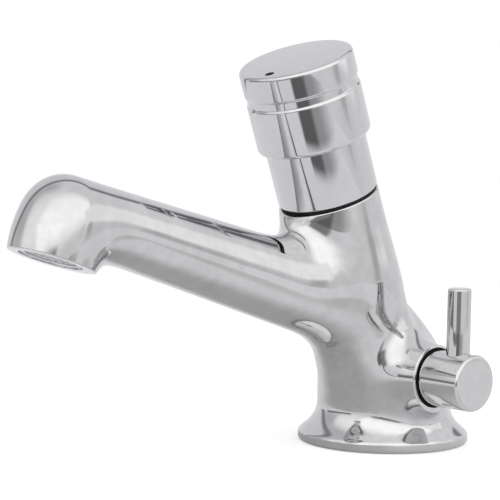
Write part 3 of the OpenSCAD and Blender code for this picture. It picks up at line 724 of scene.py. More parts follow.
CERAMIC = MouldedStuff(
    "lapped_ceramic", Slot.CERAMIC, dark=(0.74, 0.71, 0.65), pale=(0.82, 0.80, 0.75), metallic=0.0, clean=0.16,
    worn=0.30, film_scale=160.0, grain_depth=0.004,
)
GREY = MouldedStuff(
    "moulded_grey", Slot.GREY, dark=(0.56, 0.565, 0.575), pale=(0.66, 0.665, 0.675), metallic=0.0, clean=0.38,
    worn=0.55, film_scale=150.0, grain_depth=0.01,
)
SATIN = MouldedStuff(
    "satin_plating", Slot.SATIN, dark=(0.70, 0.70, 0.72), pale=(0.78, 0.78, 0.80), metallic=1.0, clean=0.16,
    worn=0.28, film_scale=150.0, grain_depth=0.006,
)
ENAMEL = MouldedStuff(
    "black_dot_enamel", Slot.ENAMEL, dark=(0.004, 0.004, 0.005), pale=(0.012, 0.012, 0.013), metallic=0.0, clean=0.60,
    worn=0.80, film_scale=200.0, grain_depth=0.004, shine=0.1,
)


@dataclass
class CastBody:
    """The one casting: foot, pillar, collar, spout and boss, blended into each other."""

    foot_d: float = 54.0
    waist_d: float = 41.9
    waist_h: float = 13.3
    cove_r: float = 10.8
    shoulder_r: float = 33.0
    rim_blend: float = 2.2
    foot_blend: float = 2.5
    collar_l: float = 84.0
    collar_d: float = 31.1
    taper: float = 0.007
    rise: float = 16.9
    elbow_h: float = 14.6
    tip_h: float = 19.8
    tip_w: float = 22.4
    root_h: float = 27.6
    root_w: float = 26.4
    outlet_d: float = 24.0
    dome_h: float = 12.0
    dome_power: float = 2.45
    tip_blend: float = 12.6
    crease_blend: float = 14.7
    collar_ease: float = 6.5
    collar_lead: float = 4.0
    throat_blend: float = 9.7
    boss_d: float = 20.0
    boss_face: float = 26.8
    boss_blend: float = 11.5
    spare: float = 3.0
    cell: float = 0.8
    edge: float = 0.5
    foot_edge: float = 1.2
    steps: int = 5
    groove: Triple = (24.25, 20.15, 1.5)
    recess: tuple[float, float] = (18.0, 6.0)
    collar_bores: Bores = ((13.5, 14.0), (11.0, 40.0))
    outlet_bores: Bores = ((9.25, 9.0), (5.0, 12.0))
    boss_bores: Bores = ((9.4, 1.6), (8.0, 16.8))
    collar_reach: float = 19.0
    outlet_reach: float = 22.0
    boss_reach: float = 16.0
    foot_reach: float = 60.0
    cut_depth: float = 6.0
    spout_end: float = 152.0
    head_end: float = 96.0
    margin: float = 2.0
    slope_step: float = 0.01
    slope_floor: float = 0.05
    first_rounds: int = 4
    later_rounds: int = 2
    relax_rounds: int = 4
    relax: float = 0.6
    skin_depth: float = 0.03
    skin_facing: float = 0.97

    def __post_init__(self) -> None:
        """Works out the lines of the middle plane, as forward and up."""
        lean, tilt = np.array(HEAD.along), np.array(OUTLET.along)
        self.head_dir = np.array([-lean[1], lean[2]])
        self.head_foot = np.array([-HEAD.origin[1], HEAD.origin[2]])
        self.outlet_up = np.array([-tilt[1], tilt[2]])
        self.outlet_at = np.array([-OUTLET.origin[1], OUTLET.origin[2]])
        angle = math.radians(self.rise)
        self.spout_dir = np.array([math.cos(angle), math.sin(angle)])
        self.elbow = self.outlet_at + self.outlet_up * self.elbow_h
        share = self.wedge(self.elbow - self.head_foot, self.spout_dir) / self.wedge(self.head_dir, self.spout_dir)
        self.spout_l = float(np.linalg.norm(self.elbow - self.head_foot - self.head_dir * share))

    @staticmethod
    def wedge(a: np.ndarray, b: np.ndarray) -> np.ndarray:
        """Product of plane vectors that is zero where they are parallel."""
        return a[..., 0] * b[..., 1] - a[..., 1] * b[..., 0]

    @staticmethod
    def join(a: np.ndarray, b: np.ndarray, k: np.ndarray | float) -> np.ndarray:
        """Lesser of two distances, rounded over a band around where they meet.

        Args:
            a: First distances.
            b: Second distances.
            k: Width of the rounding.

        Returns:
            The rounded distances.
        """
        wide = np.maximum(np.asarray(k, float) * BLEND_BAND, TINY)
        near = np.maximum(1 - np.abs(a - b) / wide, 0)
        return np.minimum(a, b) - near**3 * wide / 6

    @staticmethod
    def ease(t: np.ndarray) -> np.ndarray:
        """Smooth step from 0 to 1."""
        c = np.clip(t, 0, 1)
        return c * c * (3 - 2 * c)

    def foot(self, p: np.ndarray) -> np.ndarray:
        """Distance to the foot with its cove and shoulder.

        Args:
            p: Points, in millimetres.

        Returns:
            Distances, negative inside.
        """
        z = p[:, 2]
        drop = np.maximum(self.waist_h - z, 0)
        cove = self.waist_d / 2 + self.cove_r - np.sqrt(np.maximum(self.cove_r**2 - drop**2, 0))
        cove = cove - np.maximum(z - self.waist_h, 0) ** 2 / (2 * self.shoulder_r)
        return np.hypot(p[:, 0], p[:, 1]) - self.join(cove, np.full_like(cove, self.foot_d / 2), self.rim_blend)

    def pillar(self, p: np.ndarray, plane: np.ndarray) -> np.ndarray:
        """Distance to the leaning pillar.

        Args:
            p: Points, in millimetres.
            plane: The same points, forward and up in the middle plane.

        Returns:
            Distances, negative inside.
        """
        q = plane - self.head_foot
        radius = self.collar_d / 2 + (self.collar_l - q @ self.head_dir) * self.taper
        return np.hypot(p[:, 0], self.wedge(q, self.head_dir)) - radius

    def spout(self, p: np.ndarray, plane: np.ndarray) -> np.ndarray:
        """Distance to the tapering oval spout.

        Args:
            p: Points, in millimetres.
            plane: The same points, forward and up in the middle plane.

        Returns:
            Distances, negative inside.
        """
        q = self.elbow - plane
        back = q @ self.spout_dir
        share = np.clip(back / self.spout_l, 0, 1)
        h = (self.tip_h + (self.root_h - self.tip_h) * share) / 2
        w = (self.tip_w + (self.root_w - self.tip_w) * share) / 2
        past = np.minimum(back, 0) + np.maximum(back + self.root_h / 2 - self.spout_l, 0)
        size = np.sqrt((p[:, 0] / w) ** 2 + (self.wedge(q, self.spout_dir) / h) ** 2 + (past / h) ** 2)
        return (size - 1) * np.minimum(h, w)

    def tip(self, p: np.ndarray, plane: np.ndarray) -> np.ndarray:
        """Distance to the domed nozzle.

        Args:
            p: Points, in millimetres.
            plane: The same points, forward and up in the middle plane.

        Returns:
            Distances, negative inside.
        """
        q = plane - self.outlet_at
        off = np.hypot(p[:, 0], self.wedge(q, self.outlet_up)) * 2 / self.outlet_d
        rise = q @ self.outlet_up
        up = np.maximum(rise, 0) / self.dome_h
        size = (off**self.dome_power + up**self.dome_power) ** (1 / self.dome_power)
        return np.maximum((size - 1) * self.outlet_d / 2, -rise - self.spare)

    def boss(self, p: np.ndarray) -> np.ndarray:
        """Distance to the boss that carries the lever."""
        aside = np.hypot(p[:, 1] - LEVER.origin[1], p[:, 2] - LEVER.origin[2])
        return np.hypot(aside, np.minimum(p[:, 0], 0)) - self.boss_d / 2

    def distance(self, p: np.ndarray) -> np.ndarray:
        """Distance of points to the whole casting, ended a little past its faces.

        Args:
            p: Points, in millimetres.

        Returns:
            Distances, negative inside.
        """
        plane = np.stack([-p[:, 1], p[:, 2]], -1)
        arm = self.join(self.spout(p, plane), self.tip(p, plane), self.tip_blend)
        along = (plane - self.head_foot) @ self.head_dir
        pillar = self.pillar(p, plane)
        post = self.join(self.foot(p), pillar, self.foot_blend)
        post = np.maximum(post, along - self.collar_l - self.spare)
        # From -0.5 at the spout's underside to 0.5 at its top.
        above = self.wedge(self.spout_dir, plane - self.elbow) / self.root_h
        k = self.throat_blend + (self.crease_blend - self.throat_blend) * self.ease(above + 0.5)
        flare = np.clip((self.collar_l + self.collar_lead - along + np.maximum(pillar, 0)) / self.collar_ease, 0, 1)
        k = k * flare * (2 - flare)
        whole = self.join(self.join(post, arm, k), self.boss(p), self.boss_blend)
        ends = np.maximum(-p[:, 2], p[:, 0] - self.boss_face)
        return np.maximum(whole, ends - self.spare)

    def slope(self, p: np.ndarray) -> np.ndarray:
        """Gradient of the distance at points, in millimetres."""
        steps = np.eye(3) * self.slope_step
        return np.stack([(self.distance(p + d) - self.distance(p - d)) / (2 * self.slope_step) for d in steps], -1)

    def onto(self, p: np.ndarray, rounds: int) -> np.ndarray:
        """Moves points onto the surface.

        Args:
            p: Points, in millimetres.
            rounds: Steps toward the surface.

        Returns:
            The moved points.
        """
        for _ in range(rounds):
            g = self.slope(p)
            size = np.maximum((g**2).sum(-1, keepdims=True), self.slope_floor)
            p = p - np.clip(self.distance(p)[:, None] / size, -self.cell, self.cell) * g
        return p

    def grid(self) -> tuple[np.ndarray, np.ndarray]:
        """Samples which points of an even grid are inside the casting.

        Returns:
            Lowest corner of the grid, and whether each of its points is inside.
        """
        low = np.array([-self.foot_d / 2 - self.margin, -self.spout_end, -self.spare - self.margin])
        high = np.array([self.boss_face + self.spare + self.margin, self.foot_d / 2 + self.margin, self.head_end])
        lines = [np.arange(a, b, self.cell) for a, b in zip(low, high)]
        y, z = np.meshgrid(lines[1], lines[2], indexing="ij")
        sheets = []
        for x in lines[0]:
            sheet = np.stack([np.full(y.size, x), y.ravel(), z.ravel()], -1)
            sheets.append((self.distance(sheet) < 0).reshape(y.shape))
        return low, np.stack(sheets)

    @staticmethod
    def crossings(inside: np.ndarray, number: np.ndarray, axis: int) -> np.ndarray:
        """Faces where the surface crosses the grid's lines along one axis.

        Args:
            inside: Whether each point of the grid is inside.
            number: Point number of each cell of the grid.
            axis: Axis of the lines.

        Returns:
            Four point numbers for each face.
        """
        count = inside.shape[axis]
        first = np.take(inside, range(count - 1), axis)
        spots = np.argwhere(first != np.take(inside, range(1, count), axis))
        quad = []
        for du, dv in ((1, 1), (0, 1), (0, 0), (1, 0)):
            cell = spots.copy()
            cell[:, (axis + 1) % 3] -= du
            cell[:, (axis + 2) % 3] -= dv
            quad.append(number[tuple(cell.T)])
        quads = np.stack(quad, -1)
        flip = ~first[tuple(spots.T)]
        quads[flip] = quads[flip][:, ::-1]
        return quads

    def net(self) -> tuple[np.ndarray, np.ndarray]:
        """Makes an even mesh of the surface.

        Returns:
            Points in millimetres, and four point numbers for each face.
        """
        low, inside = self.grid()
        corners = [inside[spot] for spot in product((slice(None, -1), slice(1, None)), repeat=3)]
        mixed = np.any(corners, axis=0) & ~np.all(corners, axis=0)
        number = np.full(mixed.shape, -1)
        number[mixed] = np.arange(mixed.sum())
        quads = np.concatenate([self.crossings(inside, number, axis) for axis in range(3)])
        points = self.onto(low + (np.argwhere(mixed) + 0.5) * self.cell, self.first_rounds)
        ends = np.stack([quads, np.roll(quads, -1, axis=1)], -1).reshape(-1, 2).T
        for _ in range(self.relax_rounds):
            total, count = np.zeros_like(points), np.zeros(len(points))
            for here, there in (ends, ends[::-1]):
                np.add.at(total, here, points[there])
                np.add.at(count, here, 1)
            mean = points * (1 - self.relax) + self.relax * total / count[:, None]
            points = self.onto(mean, self.later_rounds)
        return points, quads

    def finish_end(
        self, bm: bmesh.types.BMesh, axis: Axis, edge: float, reach: float, inner: Sequence[tuple[float, float]]
    ) -> None:
        """Cuts the mesh off square to an axis, rounds the edge and lines the bore.

        Args:
            bm: Mesh of the casting.
            axis: Axis of the end, from its face outward.
            edge: Rounding of the edge.
            reach: Radius within which the mesh is cut.
            inner: Radius and depth of each step of the bore, from the face inward.
        """
        place = axis.local(np.array([v.co for v in bm.verts]))
        near = np.hypot(place[:, 0], place[:, 1]) < reach
        chosen = {v for v, n, p in zip(bm.verts, near, place) if n and p[2] > -edge - self.cut_depth}
        faces = [f for f in bm.faces if all(v in chosen for v in f.verts)]
        edges = {e for f in faces for e in f.edges}
        geom = [*chosen, *edges, *faces]
        start = Vector(axis.points(np.array(0.0), np.array(0.0), np.array(-edge)))
        cut = bmesh.ops.bisect_plane(
            bm, geom=geom, dist=CUT_TOLERANCE, plane_co=start, plane_no=Vector(axis.along), clear_outer=True
        )
        loop = [v for v in cut["geom_cut"] if isinstance(v, bmesh.types.BMVert) and v.is_boundary]
        flat = axis.local(np.array([v.co for v in loop]))
        turn = np.arctan2(flat[:, 1], flat[:, 0])
        order = np.argsort(turn)
        turn, radius = turn[order], np.hypot(flat[:, 0], flat[:, 1])[order]
        rows = [[loop[i] for i in order]]
        bends = [math.pi / 2 * (i + 1) / self.steps for i in range(self.steps)]
        places = [(radius - edge * (1 - math.cos(b)), edge * math.sin(b) - edge) for b in bends]
        places += [(np.full_like(radius, r), -deep) for r, deep in inner]
        for ring, height in places:
            points = axis.points(ring, turn, np.full_like(turn, height))
            rows.append([bm.verts.new(p) for p in points])
        for above, below in zip(rows, rows[1:]):
            for i in range(len(above)):
                bm.faces.new((above[i - 1], above[i], below[i], below[i - 1]))
        bm.faces.new(rows[-1])

    def build(self) -> None:
        """Makes the casting and dresses it."""
        points, quads = self.net()
        mesh = bpy.data.meshes.new("cast_body")
        mesh.from_pydata((points * MM).tolist(), [], quads.tolist())
        bm = bmesh.new()
        bm.from_mesh(mesh)
        down = Axis(OUTLET.origin, tuple(-np.array(OUTLET.along)), OUTLET.across)
        ends = (
            (HEAD.shifted(self.collar_l), self.collar_reach, self.collar_bores),
            (down, self.outlet_reach, self.outlet_bores),
            (LEVER.shifted(self.boss_face), self.boss_reach, self.boss_bores),
        )
        for axis, reach, bores in ends:
            self.finish_end(bm, axis, self.edge, reach, self.steps_of(bores))
        outer, inner, deep = self.groove
        hollow, roof = self.recess
        under = [(outer, 0.0), (outer, deep), (inner, deep), (inner, 0.0), (hollow, 0.0), (hollow, roof)]
        self.finish_end(bm, DECK, self.foot_edge, self.foot_reach, under)
        bmesh.ops.recalc_face_normals(bm, faces=bm.faces)
        bm.to_mesh(mesh)
        bm.free()
        self.smooth(mesh)
        seat(placed("cast_body", mesh, CAST_CHROME), Body.TAP, CAST_CHROME, "tap_body")

    @staticmethod
    def steps_of(bores: Bores) -> list[tuple[float, float]]:
        """Corners of a stepped bore.

        Args:
            bores: Radius and depth of each step.

        Returns:
            Radius and depth of each corner.
        """
        corners, top = [], 0.0
        for radius, deep in bores:
            corners += [(radius, top), (radius, deep)]
            top = deep
        return corners

    def smooth(self, mesh: bpy.types.Mesh) -> None:
        """Gives the skin the true normals of the form, and the rest plain smooth ones.

        Args:
            mesh: Mesh of the casting.
        """
        mesh.shade_smooth()
        mesh.set_sharp_from_angle(angle=SHARP_ANGLE)
        points = np.empty(len(mesh.vertices) * 3)
        mesh.vertices.foreach_get("co", points)
        points = points.reshape(-1, 3) / MM
        corner = np.empty(len(mesh.loops) * 3)
        mesh.corner_normals.foreach_get("vector", corner)
        corner = corner.reshape(-1, 3)
        vertex = np.empty(len(mesh.loops), int)
        mesh.loops.foreach_get("vertex_index", vertex)
        slope = self.slope(points)
        slope /= np.maximum(np.linalg.norm(slope, axis=1, keepdims=True), TINY)
        on_skin = (np.abs(self.distance(points)) < self.skin_depth)[vertex]
        true = slope[vertex]
        use = on_skin & ((true * corner).sum(-1) > self.skin_facing)
        corner[use] = true[use]
        mesh.normals_split_custom_set(corner.tolist())


@dataclass
class PushHead:
    """Button, its marker dot, the sleeve under it, the seam ring and the spring inside."""

    collar_l: float = 84.0
    collar_r: float = 15.55
    seal_t: float = 0.9
    seal_inset: float = 0.4
    spigot_r: float = 13.45
    sleeve_bore_r: float = 12.0
    sleeve_l: float = 28.6
    sleeve_upper_r: float = 13.55
    sleeve_soft: float = 0.6
    flange_top: float = 72.0
    cover_top: float = 95.0
    skirt_s: float = 102.7
    cap_h: float = 26.3
    cap_r: float = 17.67
    skirt_bore_r: float = 15.87
    cap_t: float = 3.5
    cap_round: float = 1.2
    skirt_round: float = 1.5
    groove_down: float = 9.5
    groove_half: float = 1.65
    groove_deep: float = 0.45
    boss_r: float = 9.0
    boss_l: float = 6.5
    stem_r: float = 2.55
    marker_r: float = 1.5
    marker_in: float = 4.4
    marker_turn: float = 8.0
    marker_t: float = 1.6
    wire_r: float = 0.7
    coil_r: float = 7.0
    coils: int = 7
    travel: float = 6.0
    fine_soft: float = 0.3
    sleeve_lip: float = 1.55
    seal_soft: float = 0.25
    seal_gap: float = 0.05
    groove_floor: float = 0.7
    groove_soft: float = 0.9
    groove_floor_soft: float = 0.7
    skirt_soft: float = 0.25
    roof_soft: float = 0.8
    boss_soft: float = 0.4
    marker_up: float = 0.05
    marker_soft: float = 0.08
    marker_bevel: float = 0.1
    marker_drop: float = 0.06
    spring_gap: float = 0.05
    coil_steps: int = 48
    wire_sides: int = 14

    def build(self) -> None:
        """Makes the pieces of the head in order."""
        for make in (self.sleeve, self.seam_ring, self.button, self.marker, self.spring):
            make()

    def sleeve(self) -> None:
        """Makes the plated sleeve that screws into the collar."""
        low = self.collar_l + self.seal_t
        top = low + self.sleeve_l
        corners = [
            Corner(self.sleeve_bore_r, self.flange_top, self.fine_soft),
            Corner(self.spigot_r, self.flange_top, self.fine_soft),
            Corner(self.spigot_r, low),
            Corner(self.collar_r, low, self.sleeve_soft),
            Corner(self.collar_r, top, self.sleeve_soft),
            Corner(self.sleeve_upper_r, top, self.fine_soft),
            Corner(self.sleeve_upper_r, self.cover_top + self.sleeve_lip, self.fine_soft),
            Corner(self.sleeve_bore_r, self.cover_top, self.fine_soft),
        ]
        turned("plated_sleeve", HEAD, corners, HEAD_CHROME, Body.TAP, "head_sleeve")

    def seam_ring(self) -> None:
        """Makes the dark ring in the seam under the sleeve."""
        inner, outer = self.spigot_r + self.seal_gap, self.collar_r - self.seal_inset
        low, top = self.collar_l, self.collar_l + self.seal_t
        corners = [
            Corner(inner, low),
            Corner(outer, low, self.seal_soft),
            Corner(outer, top, self.seal_soft),
            Corner(inner, top),
        ]
        turned("seam_ring", HEAD, corners, RUBBER, Body.TAP, "sleeve_seal")

    def button(self) -> None:
        """Makes the push button with its skirt, shallow groove and boss."""
        top = self.skirt_s + self.cap_h
        groove = top - self.groove_down
        floor_r, floor_half = self.cap_r - self.groove_deep, self.groove_half * self.groove_floor
        ceiling = top - self.cap_t
        hole = ceiling - self.stem_r / 2
        corners = [
            Corner(0.0, top),
            Corner(self.cap_r, top, self.cap_round),
            Corner(self.cap_r, groove + self.groove_half, self.groove_soft),
            Corner(floor_r, groove + floor_half, self.groove_floor_soft),
            Corner(floor_r, groove - floor_half, self.groove_floor_soft),
            Corner(self.cap_r, groove - self.groove_half, self.groove_soft),
            Corner(self.cap_r, self.skirt_s, self.skirt_round),
            Corner(self.skirt_bore_r, self.skirt_s, self.skirt_soft),
            Corner(self.skirt_bore_r, ceiling, self.roof_soft),
            Corner(self.boss_r, ceiling, self.roof_soft),
            Corner(self.boss_r, ceiling - self.boss_l, self.boss_soft),
            Corner(self.stem_r, ceiling - self.boss_l, self.fine_soft),
            Corner(self.stem_r, hole),
            Corner(0.0, hole),
        ]
        turned("push_button", HEAD, corners, HEAD_CHROME, Body.BUTTON, "push_cap")

    def marker(self) -> None:
        """Makes the small enamelled dot let into the button's top."""
        turn = math.radians(self.marker_turn)
        off = self.marker_in - self.cap_r
        local = np.array([-off * math.sin(turn), off * math.cos(turn), self.skirt_s + self.cap_h])
        middle = np.array(HEAD.origin) + local @ HEAD.frame()
        axis = Axis(tuple(middle), HEAD.along, HEAD.across)
        corners = [
            Corner(0.0, self.marker_up),
            Corner(self.marker_r - self.marker_bevel, self.marker_up, self.marker_soft),
            Corner(self.marker_r, -self.marker_drop),
            Corner(self.marker_r, -self.marker_t),
            Corner(0.0, -self.marker_t),
        ]
        turned("marker_dot", axis, corners, ENAMEL, Body.BUTTON, "cap_marker")

    def spring(self) -> None:
        """Makes the return spring between the cover and the button's boss."""
        low = self.cover_top + self.wire_r + self.spring_gap
        high = self.skirt_s + self.cap_h - self.cap_t - self.boss_l - self.wire_r - self.spring_gap
        rings, sides = self.coils * self.coil_steps, self.wire_sides
        turn = np.linspace(0, 2 * math.pi * self.coils, rings + 1)
        pitch = (high - low) / self.coils
        lean = math.atan2(pitch, 2 * math.pi * self.coil_r)
        cos, sin = np.cos(turn), np.sin(turn)
        out = np.stack([cos, sin, np.zeros_like(turn)], -1)
        up = np.stack([sin * math.sin(lean), -cos * math.sin(lean), np.full_like(turn, math.cos(lean))], -1)
        middle = out * self.coil_r + np.array([0, 0, 1.0]) * (low + pitch * turn / (2 * math.pi))[:, None]
        around = np.linspace(0, 2 * math.pi, sides, endpoint=False)[None, :, None]
        local = middle[:, None] + self.wire_r * (out[:, None] * np.cos(around) + up[:, None] * np.sin(around))
        points = (np.array(HEAD.origin) + local.reshape(-1, 3) @ HEAD.frame()) * MM
        here = np.arange((rings + 1) * sides).reshape(rings + 1, sides)
        beside = np.roll(here, -1, axis=1)
        faces = np.stack([here[:-1], here[1:], beside[1:], beside[:-1]], -1).reshape(-1, 4).tolist()
        made = mesh_object("return_coil", points, [*faces, here[0].tolist(), here[-1].tolist()], HEAD_STEEL)
        seat(made, Body.TAP, HEAD_STEEL, "return_spring")
        anchor = HEAD.points(np.array(0.0), np.array(0.0), np.array(self.cover_top))
        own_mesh(made)


@dataclass
class SideLever:
    """Hub and pin of the side lever, and the black ring in the gap round the hub, which also stands in for the gap's
    shade.
    """

    hub_r: float = 8.7
    hub_x: float = 26.7
    hub_face: float = 42.8
    hub_soft: float = 1.0
    pin_r: float = 3.65
    pin_back: float = 7.3
    pin_l: float = 28.5
    pin_soft: float = 0.6
    spigot_r: float = 2.5
    spigot_l: float = 3.55
    ring_x: float = 25.2
    ring_t: float = 1.38
    ring_outer: float = 9.35
    ring_inner: float = 9.0
    lip_inner: float = 7.6
    lip_t: float = 0.15
    fit: float = 0.03
    back_soft: float = 0.5
    spigot_soft: float = 0.3
    ring_soft: float = 0.12

    def build(self) -> None:
        """Makes the pieces of the lever in order."""
        for make in (self.hub, self.pin, self.gap_seal_and_shade_ring):
            make()

    def hub(self) -> None:
        """Makes the round hub with softened edges."""
        corners = [
            Corner(0.0, self.hub_x),
            Corner(self.hub_r, self.hub_x, self.back_soft),
            Corner(self.hub_r, self.hub_face, self.hub_soft),
            Corner(0.0, self.hub_face),
        ]
        turned("turned_hub", LEVER, corners, LEVER_CHROME, Body.LEVER, "lever_hub")

    def pin(self) -> None:
        """Makes the upright pin, whose foot follows the hub's round side."""
        origin = (self.hub_face - self.pin_back, LEVER.origin[1], LEVER.origin[2])
        axis = Axis(origin, (0.0, 0.0, 1.0), (1.0, 0.0, 0.0))
        sunk = self.hub_r - self.spigot_l
        corners = [
            Corner(0.0, sunk),
            Corner(self.spigot_r, sunk, self.spigot_soft),
            Corner(self.spigot_r, 0.0),
            Corner(self.pin_r, 0.0),
            Corner(self.pin_r, self.pin_l, self.pin_soft),
            Corner(0.0, self.pin_l),
        ]
        radius, height = soften(corners).T[:, None]
        turns = full_turn()
        saddle = np.sqrt((self.hub_r + self.fit) ** 2 - (radius * np.sin(turns)) ** 2)
        points = axis.points(radius, turns, np.where(height <= 0, saddle, height))
        seat(lathe("lever_upright", points, LEVER_CHROME), Body.LEVER, LEVER_CHROME, "lever_pin")

    def gap_seal_and_shade_ring(self) -> None:
        """Makes the black rubber ring in the gap round the hub, with a thin lip behind the hub. Its black is partly a
        dust seal and partly painted shade of the gap.
        """
        # Painted shade: the ring's black, with the lip reaching in behind the hub, darkens the gap as its shade would.
        low, top = self.ring_x, self.ring_x + self.ring_t
        corners = [
            Corner(self.ring_inner, low),
            Corner(self.ring_outer, low),
            Corner(self.ring_outer, top, self.ring_soft),
            Corner(self.lip_inner, top),
            Corner(self.lip_inner, top - self.lip_t),
            Corner(self.ring_inner, top - self.lip_t),
        ]
        turned("gap_seal_and_shade_ring", LEVER, corners, RUBBER, Body.TAP, "lever_dust_seal")


@dataclass
class Outlet:
    """Ring that holds the aerator in the spout's end."""

    outer_r: float = 9.2
    lip_r: float = 7.5
    bore_r: float = 8.0
    inset: float = 0.4
    shelf: float = 0.9
    top: float = 8.0
    lip_soft: float = 0.2
    rim_soft: float = 0.5
    shelf_soft: float = 0.1

    def build(self) -> None:
        """Makes the aerator's ring."""
        corners = [
            Corner(self.lip_r, self.inset, self.lip_soft),
            Corner(self.outer_r, self.inset, self.rim_soft),
            Corner(self.outer_r, self.top),
            Corner(self.bore_r, self.top),
            Corner(self.bore_r, self.shelf),
            Corner(self.lip_r, self.shelf, self.shelf_soft),
        ]
        turned("aerator_ring", OUTLET, corners, SATIN, Body.TAP, "aerator_housing")


@dataclass
class DeckSeal:
    """Rubber ring in the groove under the foot."""

    outer_r: float = 24.2
    inner_r: float = 20.2
    thick: float = 1.5
    soft: float = 0.3

    def build(self) -> None:
        """Makes the ring."""
        inner, outer, thick, soft = self.inner_r, self.outer_r, self.thick, self.soft
        places = ((inner, 0.0), (outer, 0.0), (outer, -thick), (inner, -thick))
        turned("deck_seal", DECK, [Corner(r, s, soft) for r, s in places], RUBBER, Body.TAP, "base_gasket")


@dataclass
class Works:
    """Cartridges and other pieces that keep the frame's own solids."""

    finishes: dict[str, Finish] = field(
        default_factory=lambda: {
            "aerator_insert": GREY,
            "aerator_washer": RUBBER,
            "cartridge_housing": HEAD_BRASS,
            "cartridge_o_rings": RUBBER,
            "cartridge_cover": HEAD_BRASS,
            "seat_washer": RUBBER,
            "side_port_seal": RUBBER,
            "fixed_ceramic_disc": CERAMIC,
            "side_carrier": GREY,
            "side_gland_nut": LEVER_BRASS,
            "mixing_stem_o_ring": RUBBER,
            "push_stem": HEAD_STEEL,
            "piston": GREY,
            "piston_lip_seal": RUBBER,
            "valve_disc": RUBBER,
            "valve_nut": HEAD_BRASS,
            "hub_grub_screw": HEAD_STEEL,
            "mixing_stem": LEVER_BRASS,
            "moving_ceramic_disc": CERAMIC,
        }
    )

    def dress(self, nodes: dict[str, bpy.types.Object]) -> None:
        """Gives each node its finish.

        Args:
            nodes: Objects of the frame by node name.
        """
        for name, finish in self.finishes.items():
            mesh = nodes[name].data
            mesh.materials.clear()
            mesh.materials.append(finish.material())
            LOG.info("%s: finished as %s", name, finish.name)


@dataclass(frozen=True)
class Panel:
    """Soft-edged part of the studio's surroundings, seen in the chrome.

    Angles are in degrees. Azimuth 0 is toward the spout, and 90 toward the lever.
    """

    azimuth: float
    elevation: float
    soft: float
    colour: Triple

    def mask(self, graph: Graph, direction: Socket) -> Socket:
        """Masks the panel in the surroundings.

        Args:
            graph: Graph of the surroundings.
            direction: Direction that is looked in.

        Returns:
            The mask.
        """
        raise NotImplementedError


@dataclass(frozen=True)
class Card(Panel):
    """Upright panel with straight edges."""

    width: float
    height: float

    def mask(self, graph: Graph, direction: Socket) -> Socket:
        """Masks the card between its four edges.

        Args:
            graph: Graph of the surroundings.
            direction: Direction that is looked in.

        Returns:
            The mask.
        """
        toward, wide = heading(self.azimuth, self.elevation), level(self.azimuth)
        width, height, soft = (math.tan(math.radians(v)) for v in (self.width / 2, self.height / 2, self.soft))
        node = graph.group(EFFECTS.card_mask, Direction=direction, Toward=toward, Wide=wide, Tall=wide.cross(toward))
        return graph.feed(node, Width=width, Height=height, Soft=soft).outputs[0]


@dataclass(frozen=True)
class Disc(Panel):
    """Round panel."""

    radius: float

    def mask(self, graph: Graph, direction: Socket) -> Socket:
        """Masks the disc by its angle from the middle.

        Args:
            graph: Graph of the surroundings.
            direction: Direction that is looked in.

        Returns:
            The mask.
        """
        ahead = graph.vector("DOT_PRODUCT", direction, heading(self.azimuth, self.elevation))
        angle = graph.math("ARCCOSINE", ahead.outputs["Value"])
        inner, outer = math.radians(self.radius - self.soft), math.radians(self.radius + self.soft)
        return graph.span(angle, inner, outer, 1.0, 0.0)


@dataclass(frozen=True)
class Patch:
    """Soft-edged oval of the floor, in metres, of painted shade whose own tone shows only in the chrome."""

    x: float
    y: float
    half_x: float
    half_y: float
    soft: float
    colour: Triple

    def mask(self, graph: Graph, place: Socket) -> Socket:
        """Masks the oval on the floor.

        Args:
            graph: Graph of the floor's material.
            place: Place on the floor.

        Returns:
            The mask.
        """
        offset = graph.vector("SUBTRACT", place, (self.x, self.y, 0.0)).outputs[0]
        share = graph.vector("DIVIDE", offset, (self.half_x, self.half_y, 1.0)).outputs[0]
        length = graph.vector("LENGTH", share).outputs["Value"]
        return graph.span(length, 1.0 - self.soft, 1.0 + self.soft, 1.0, 0.0)


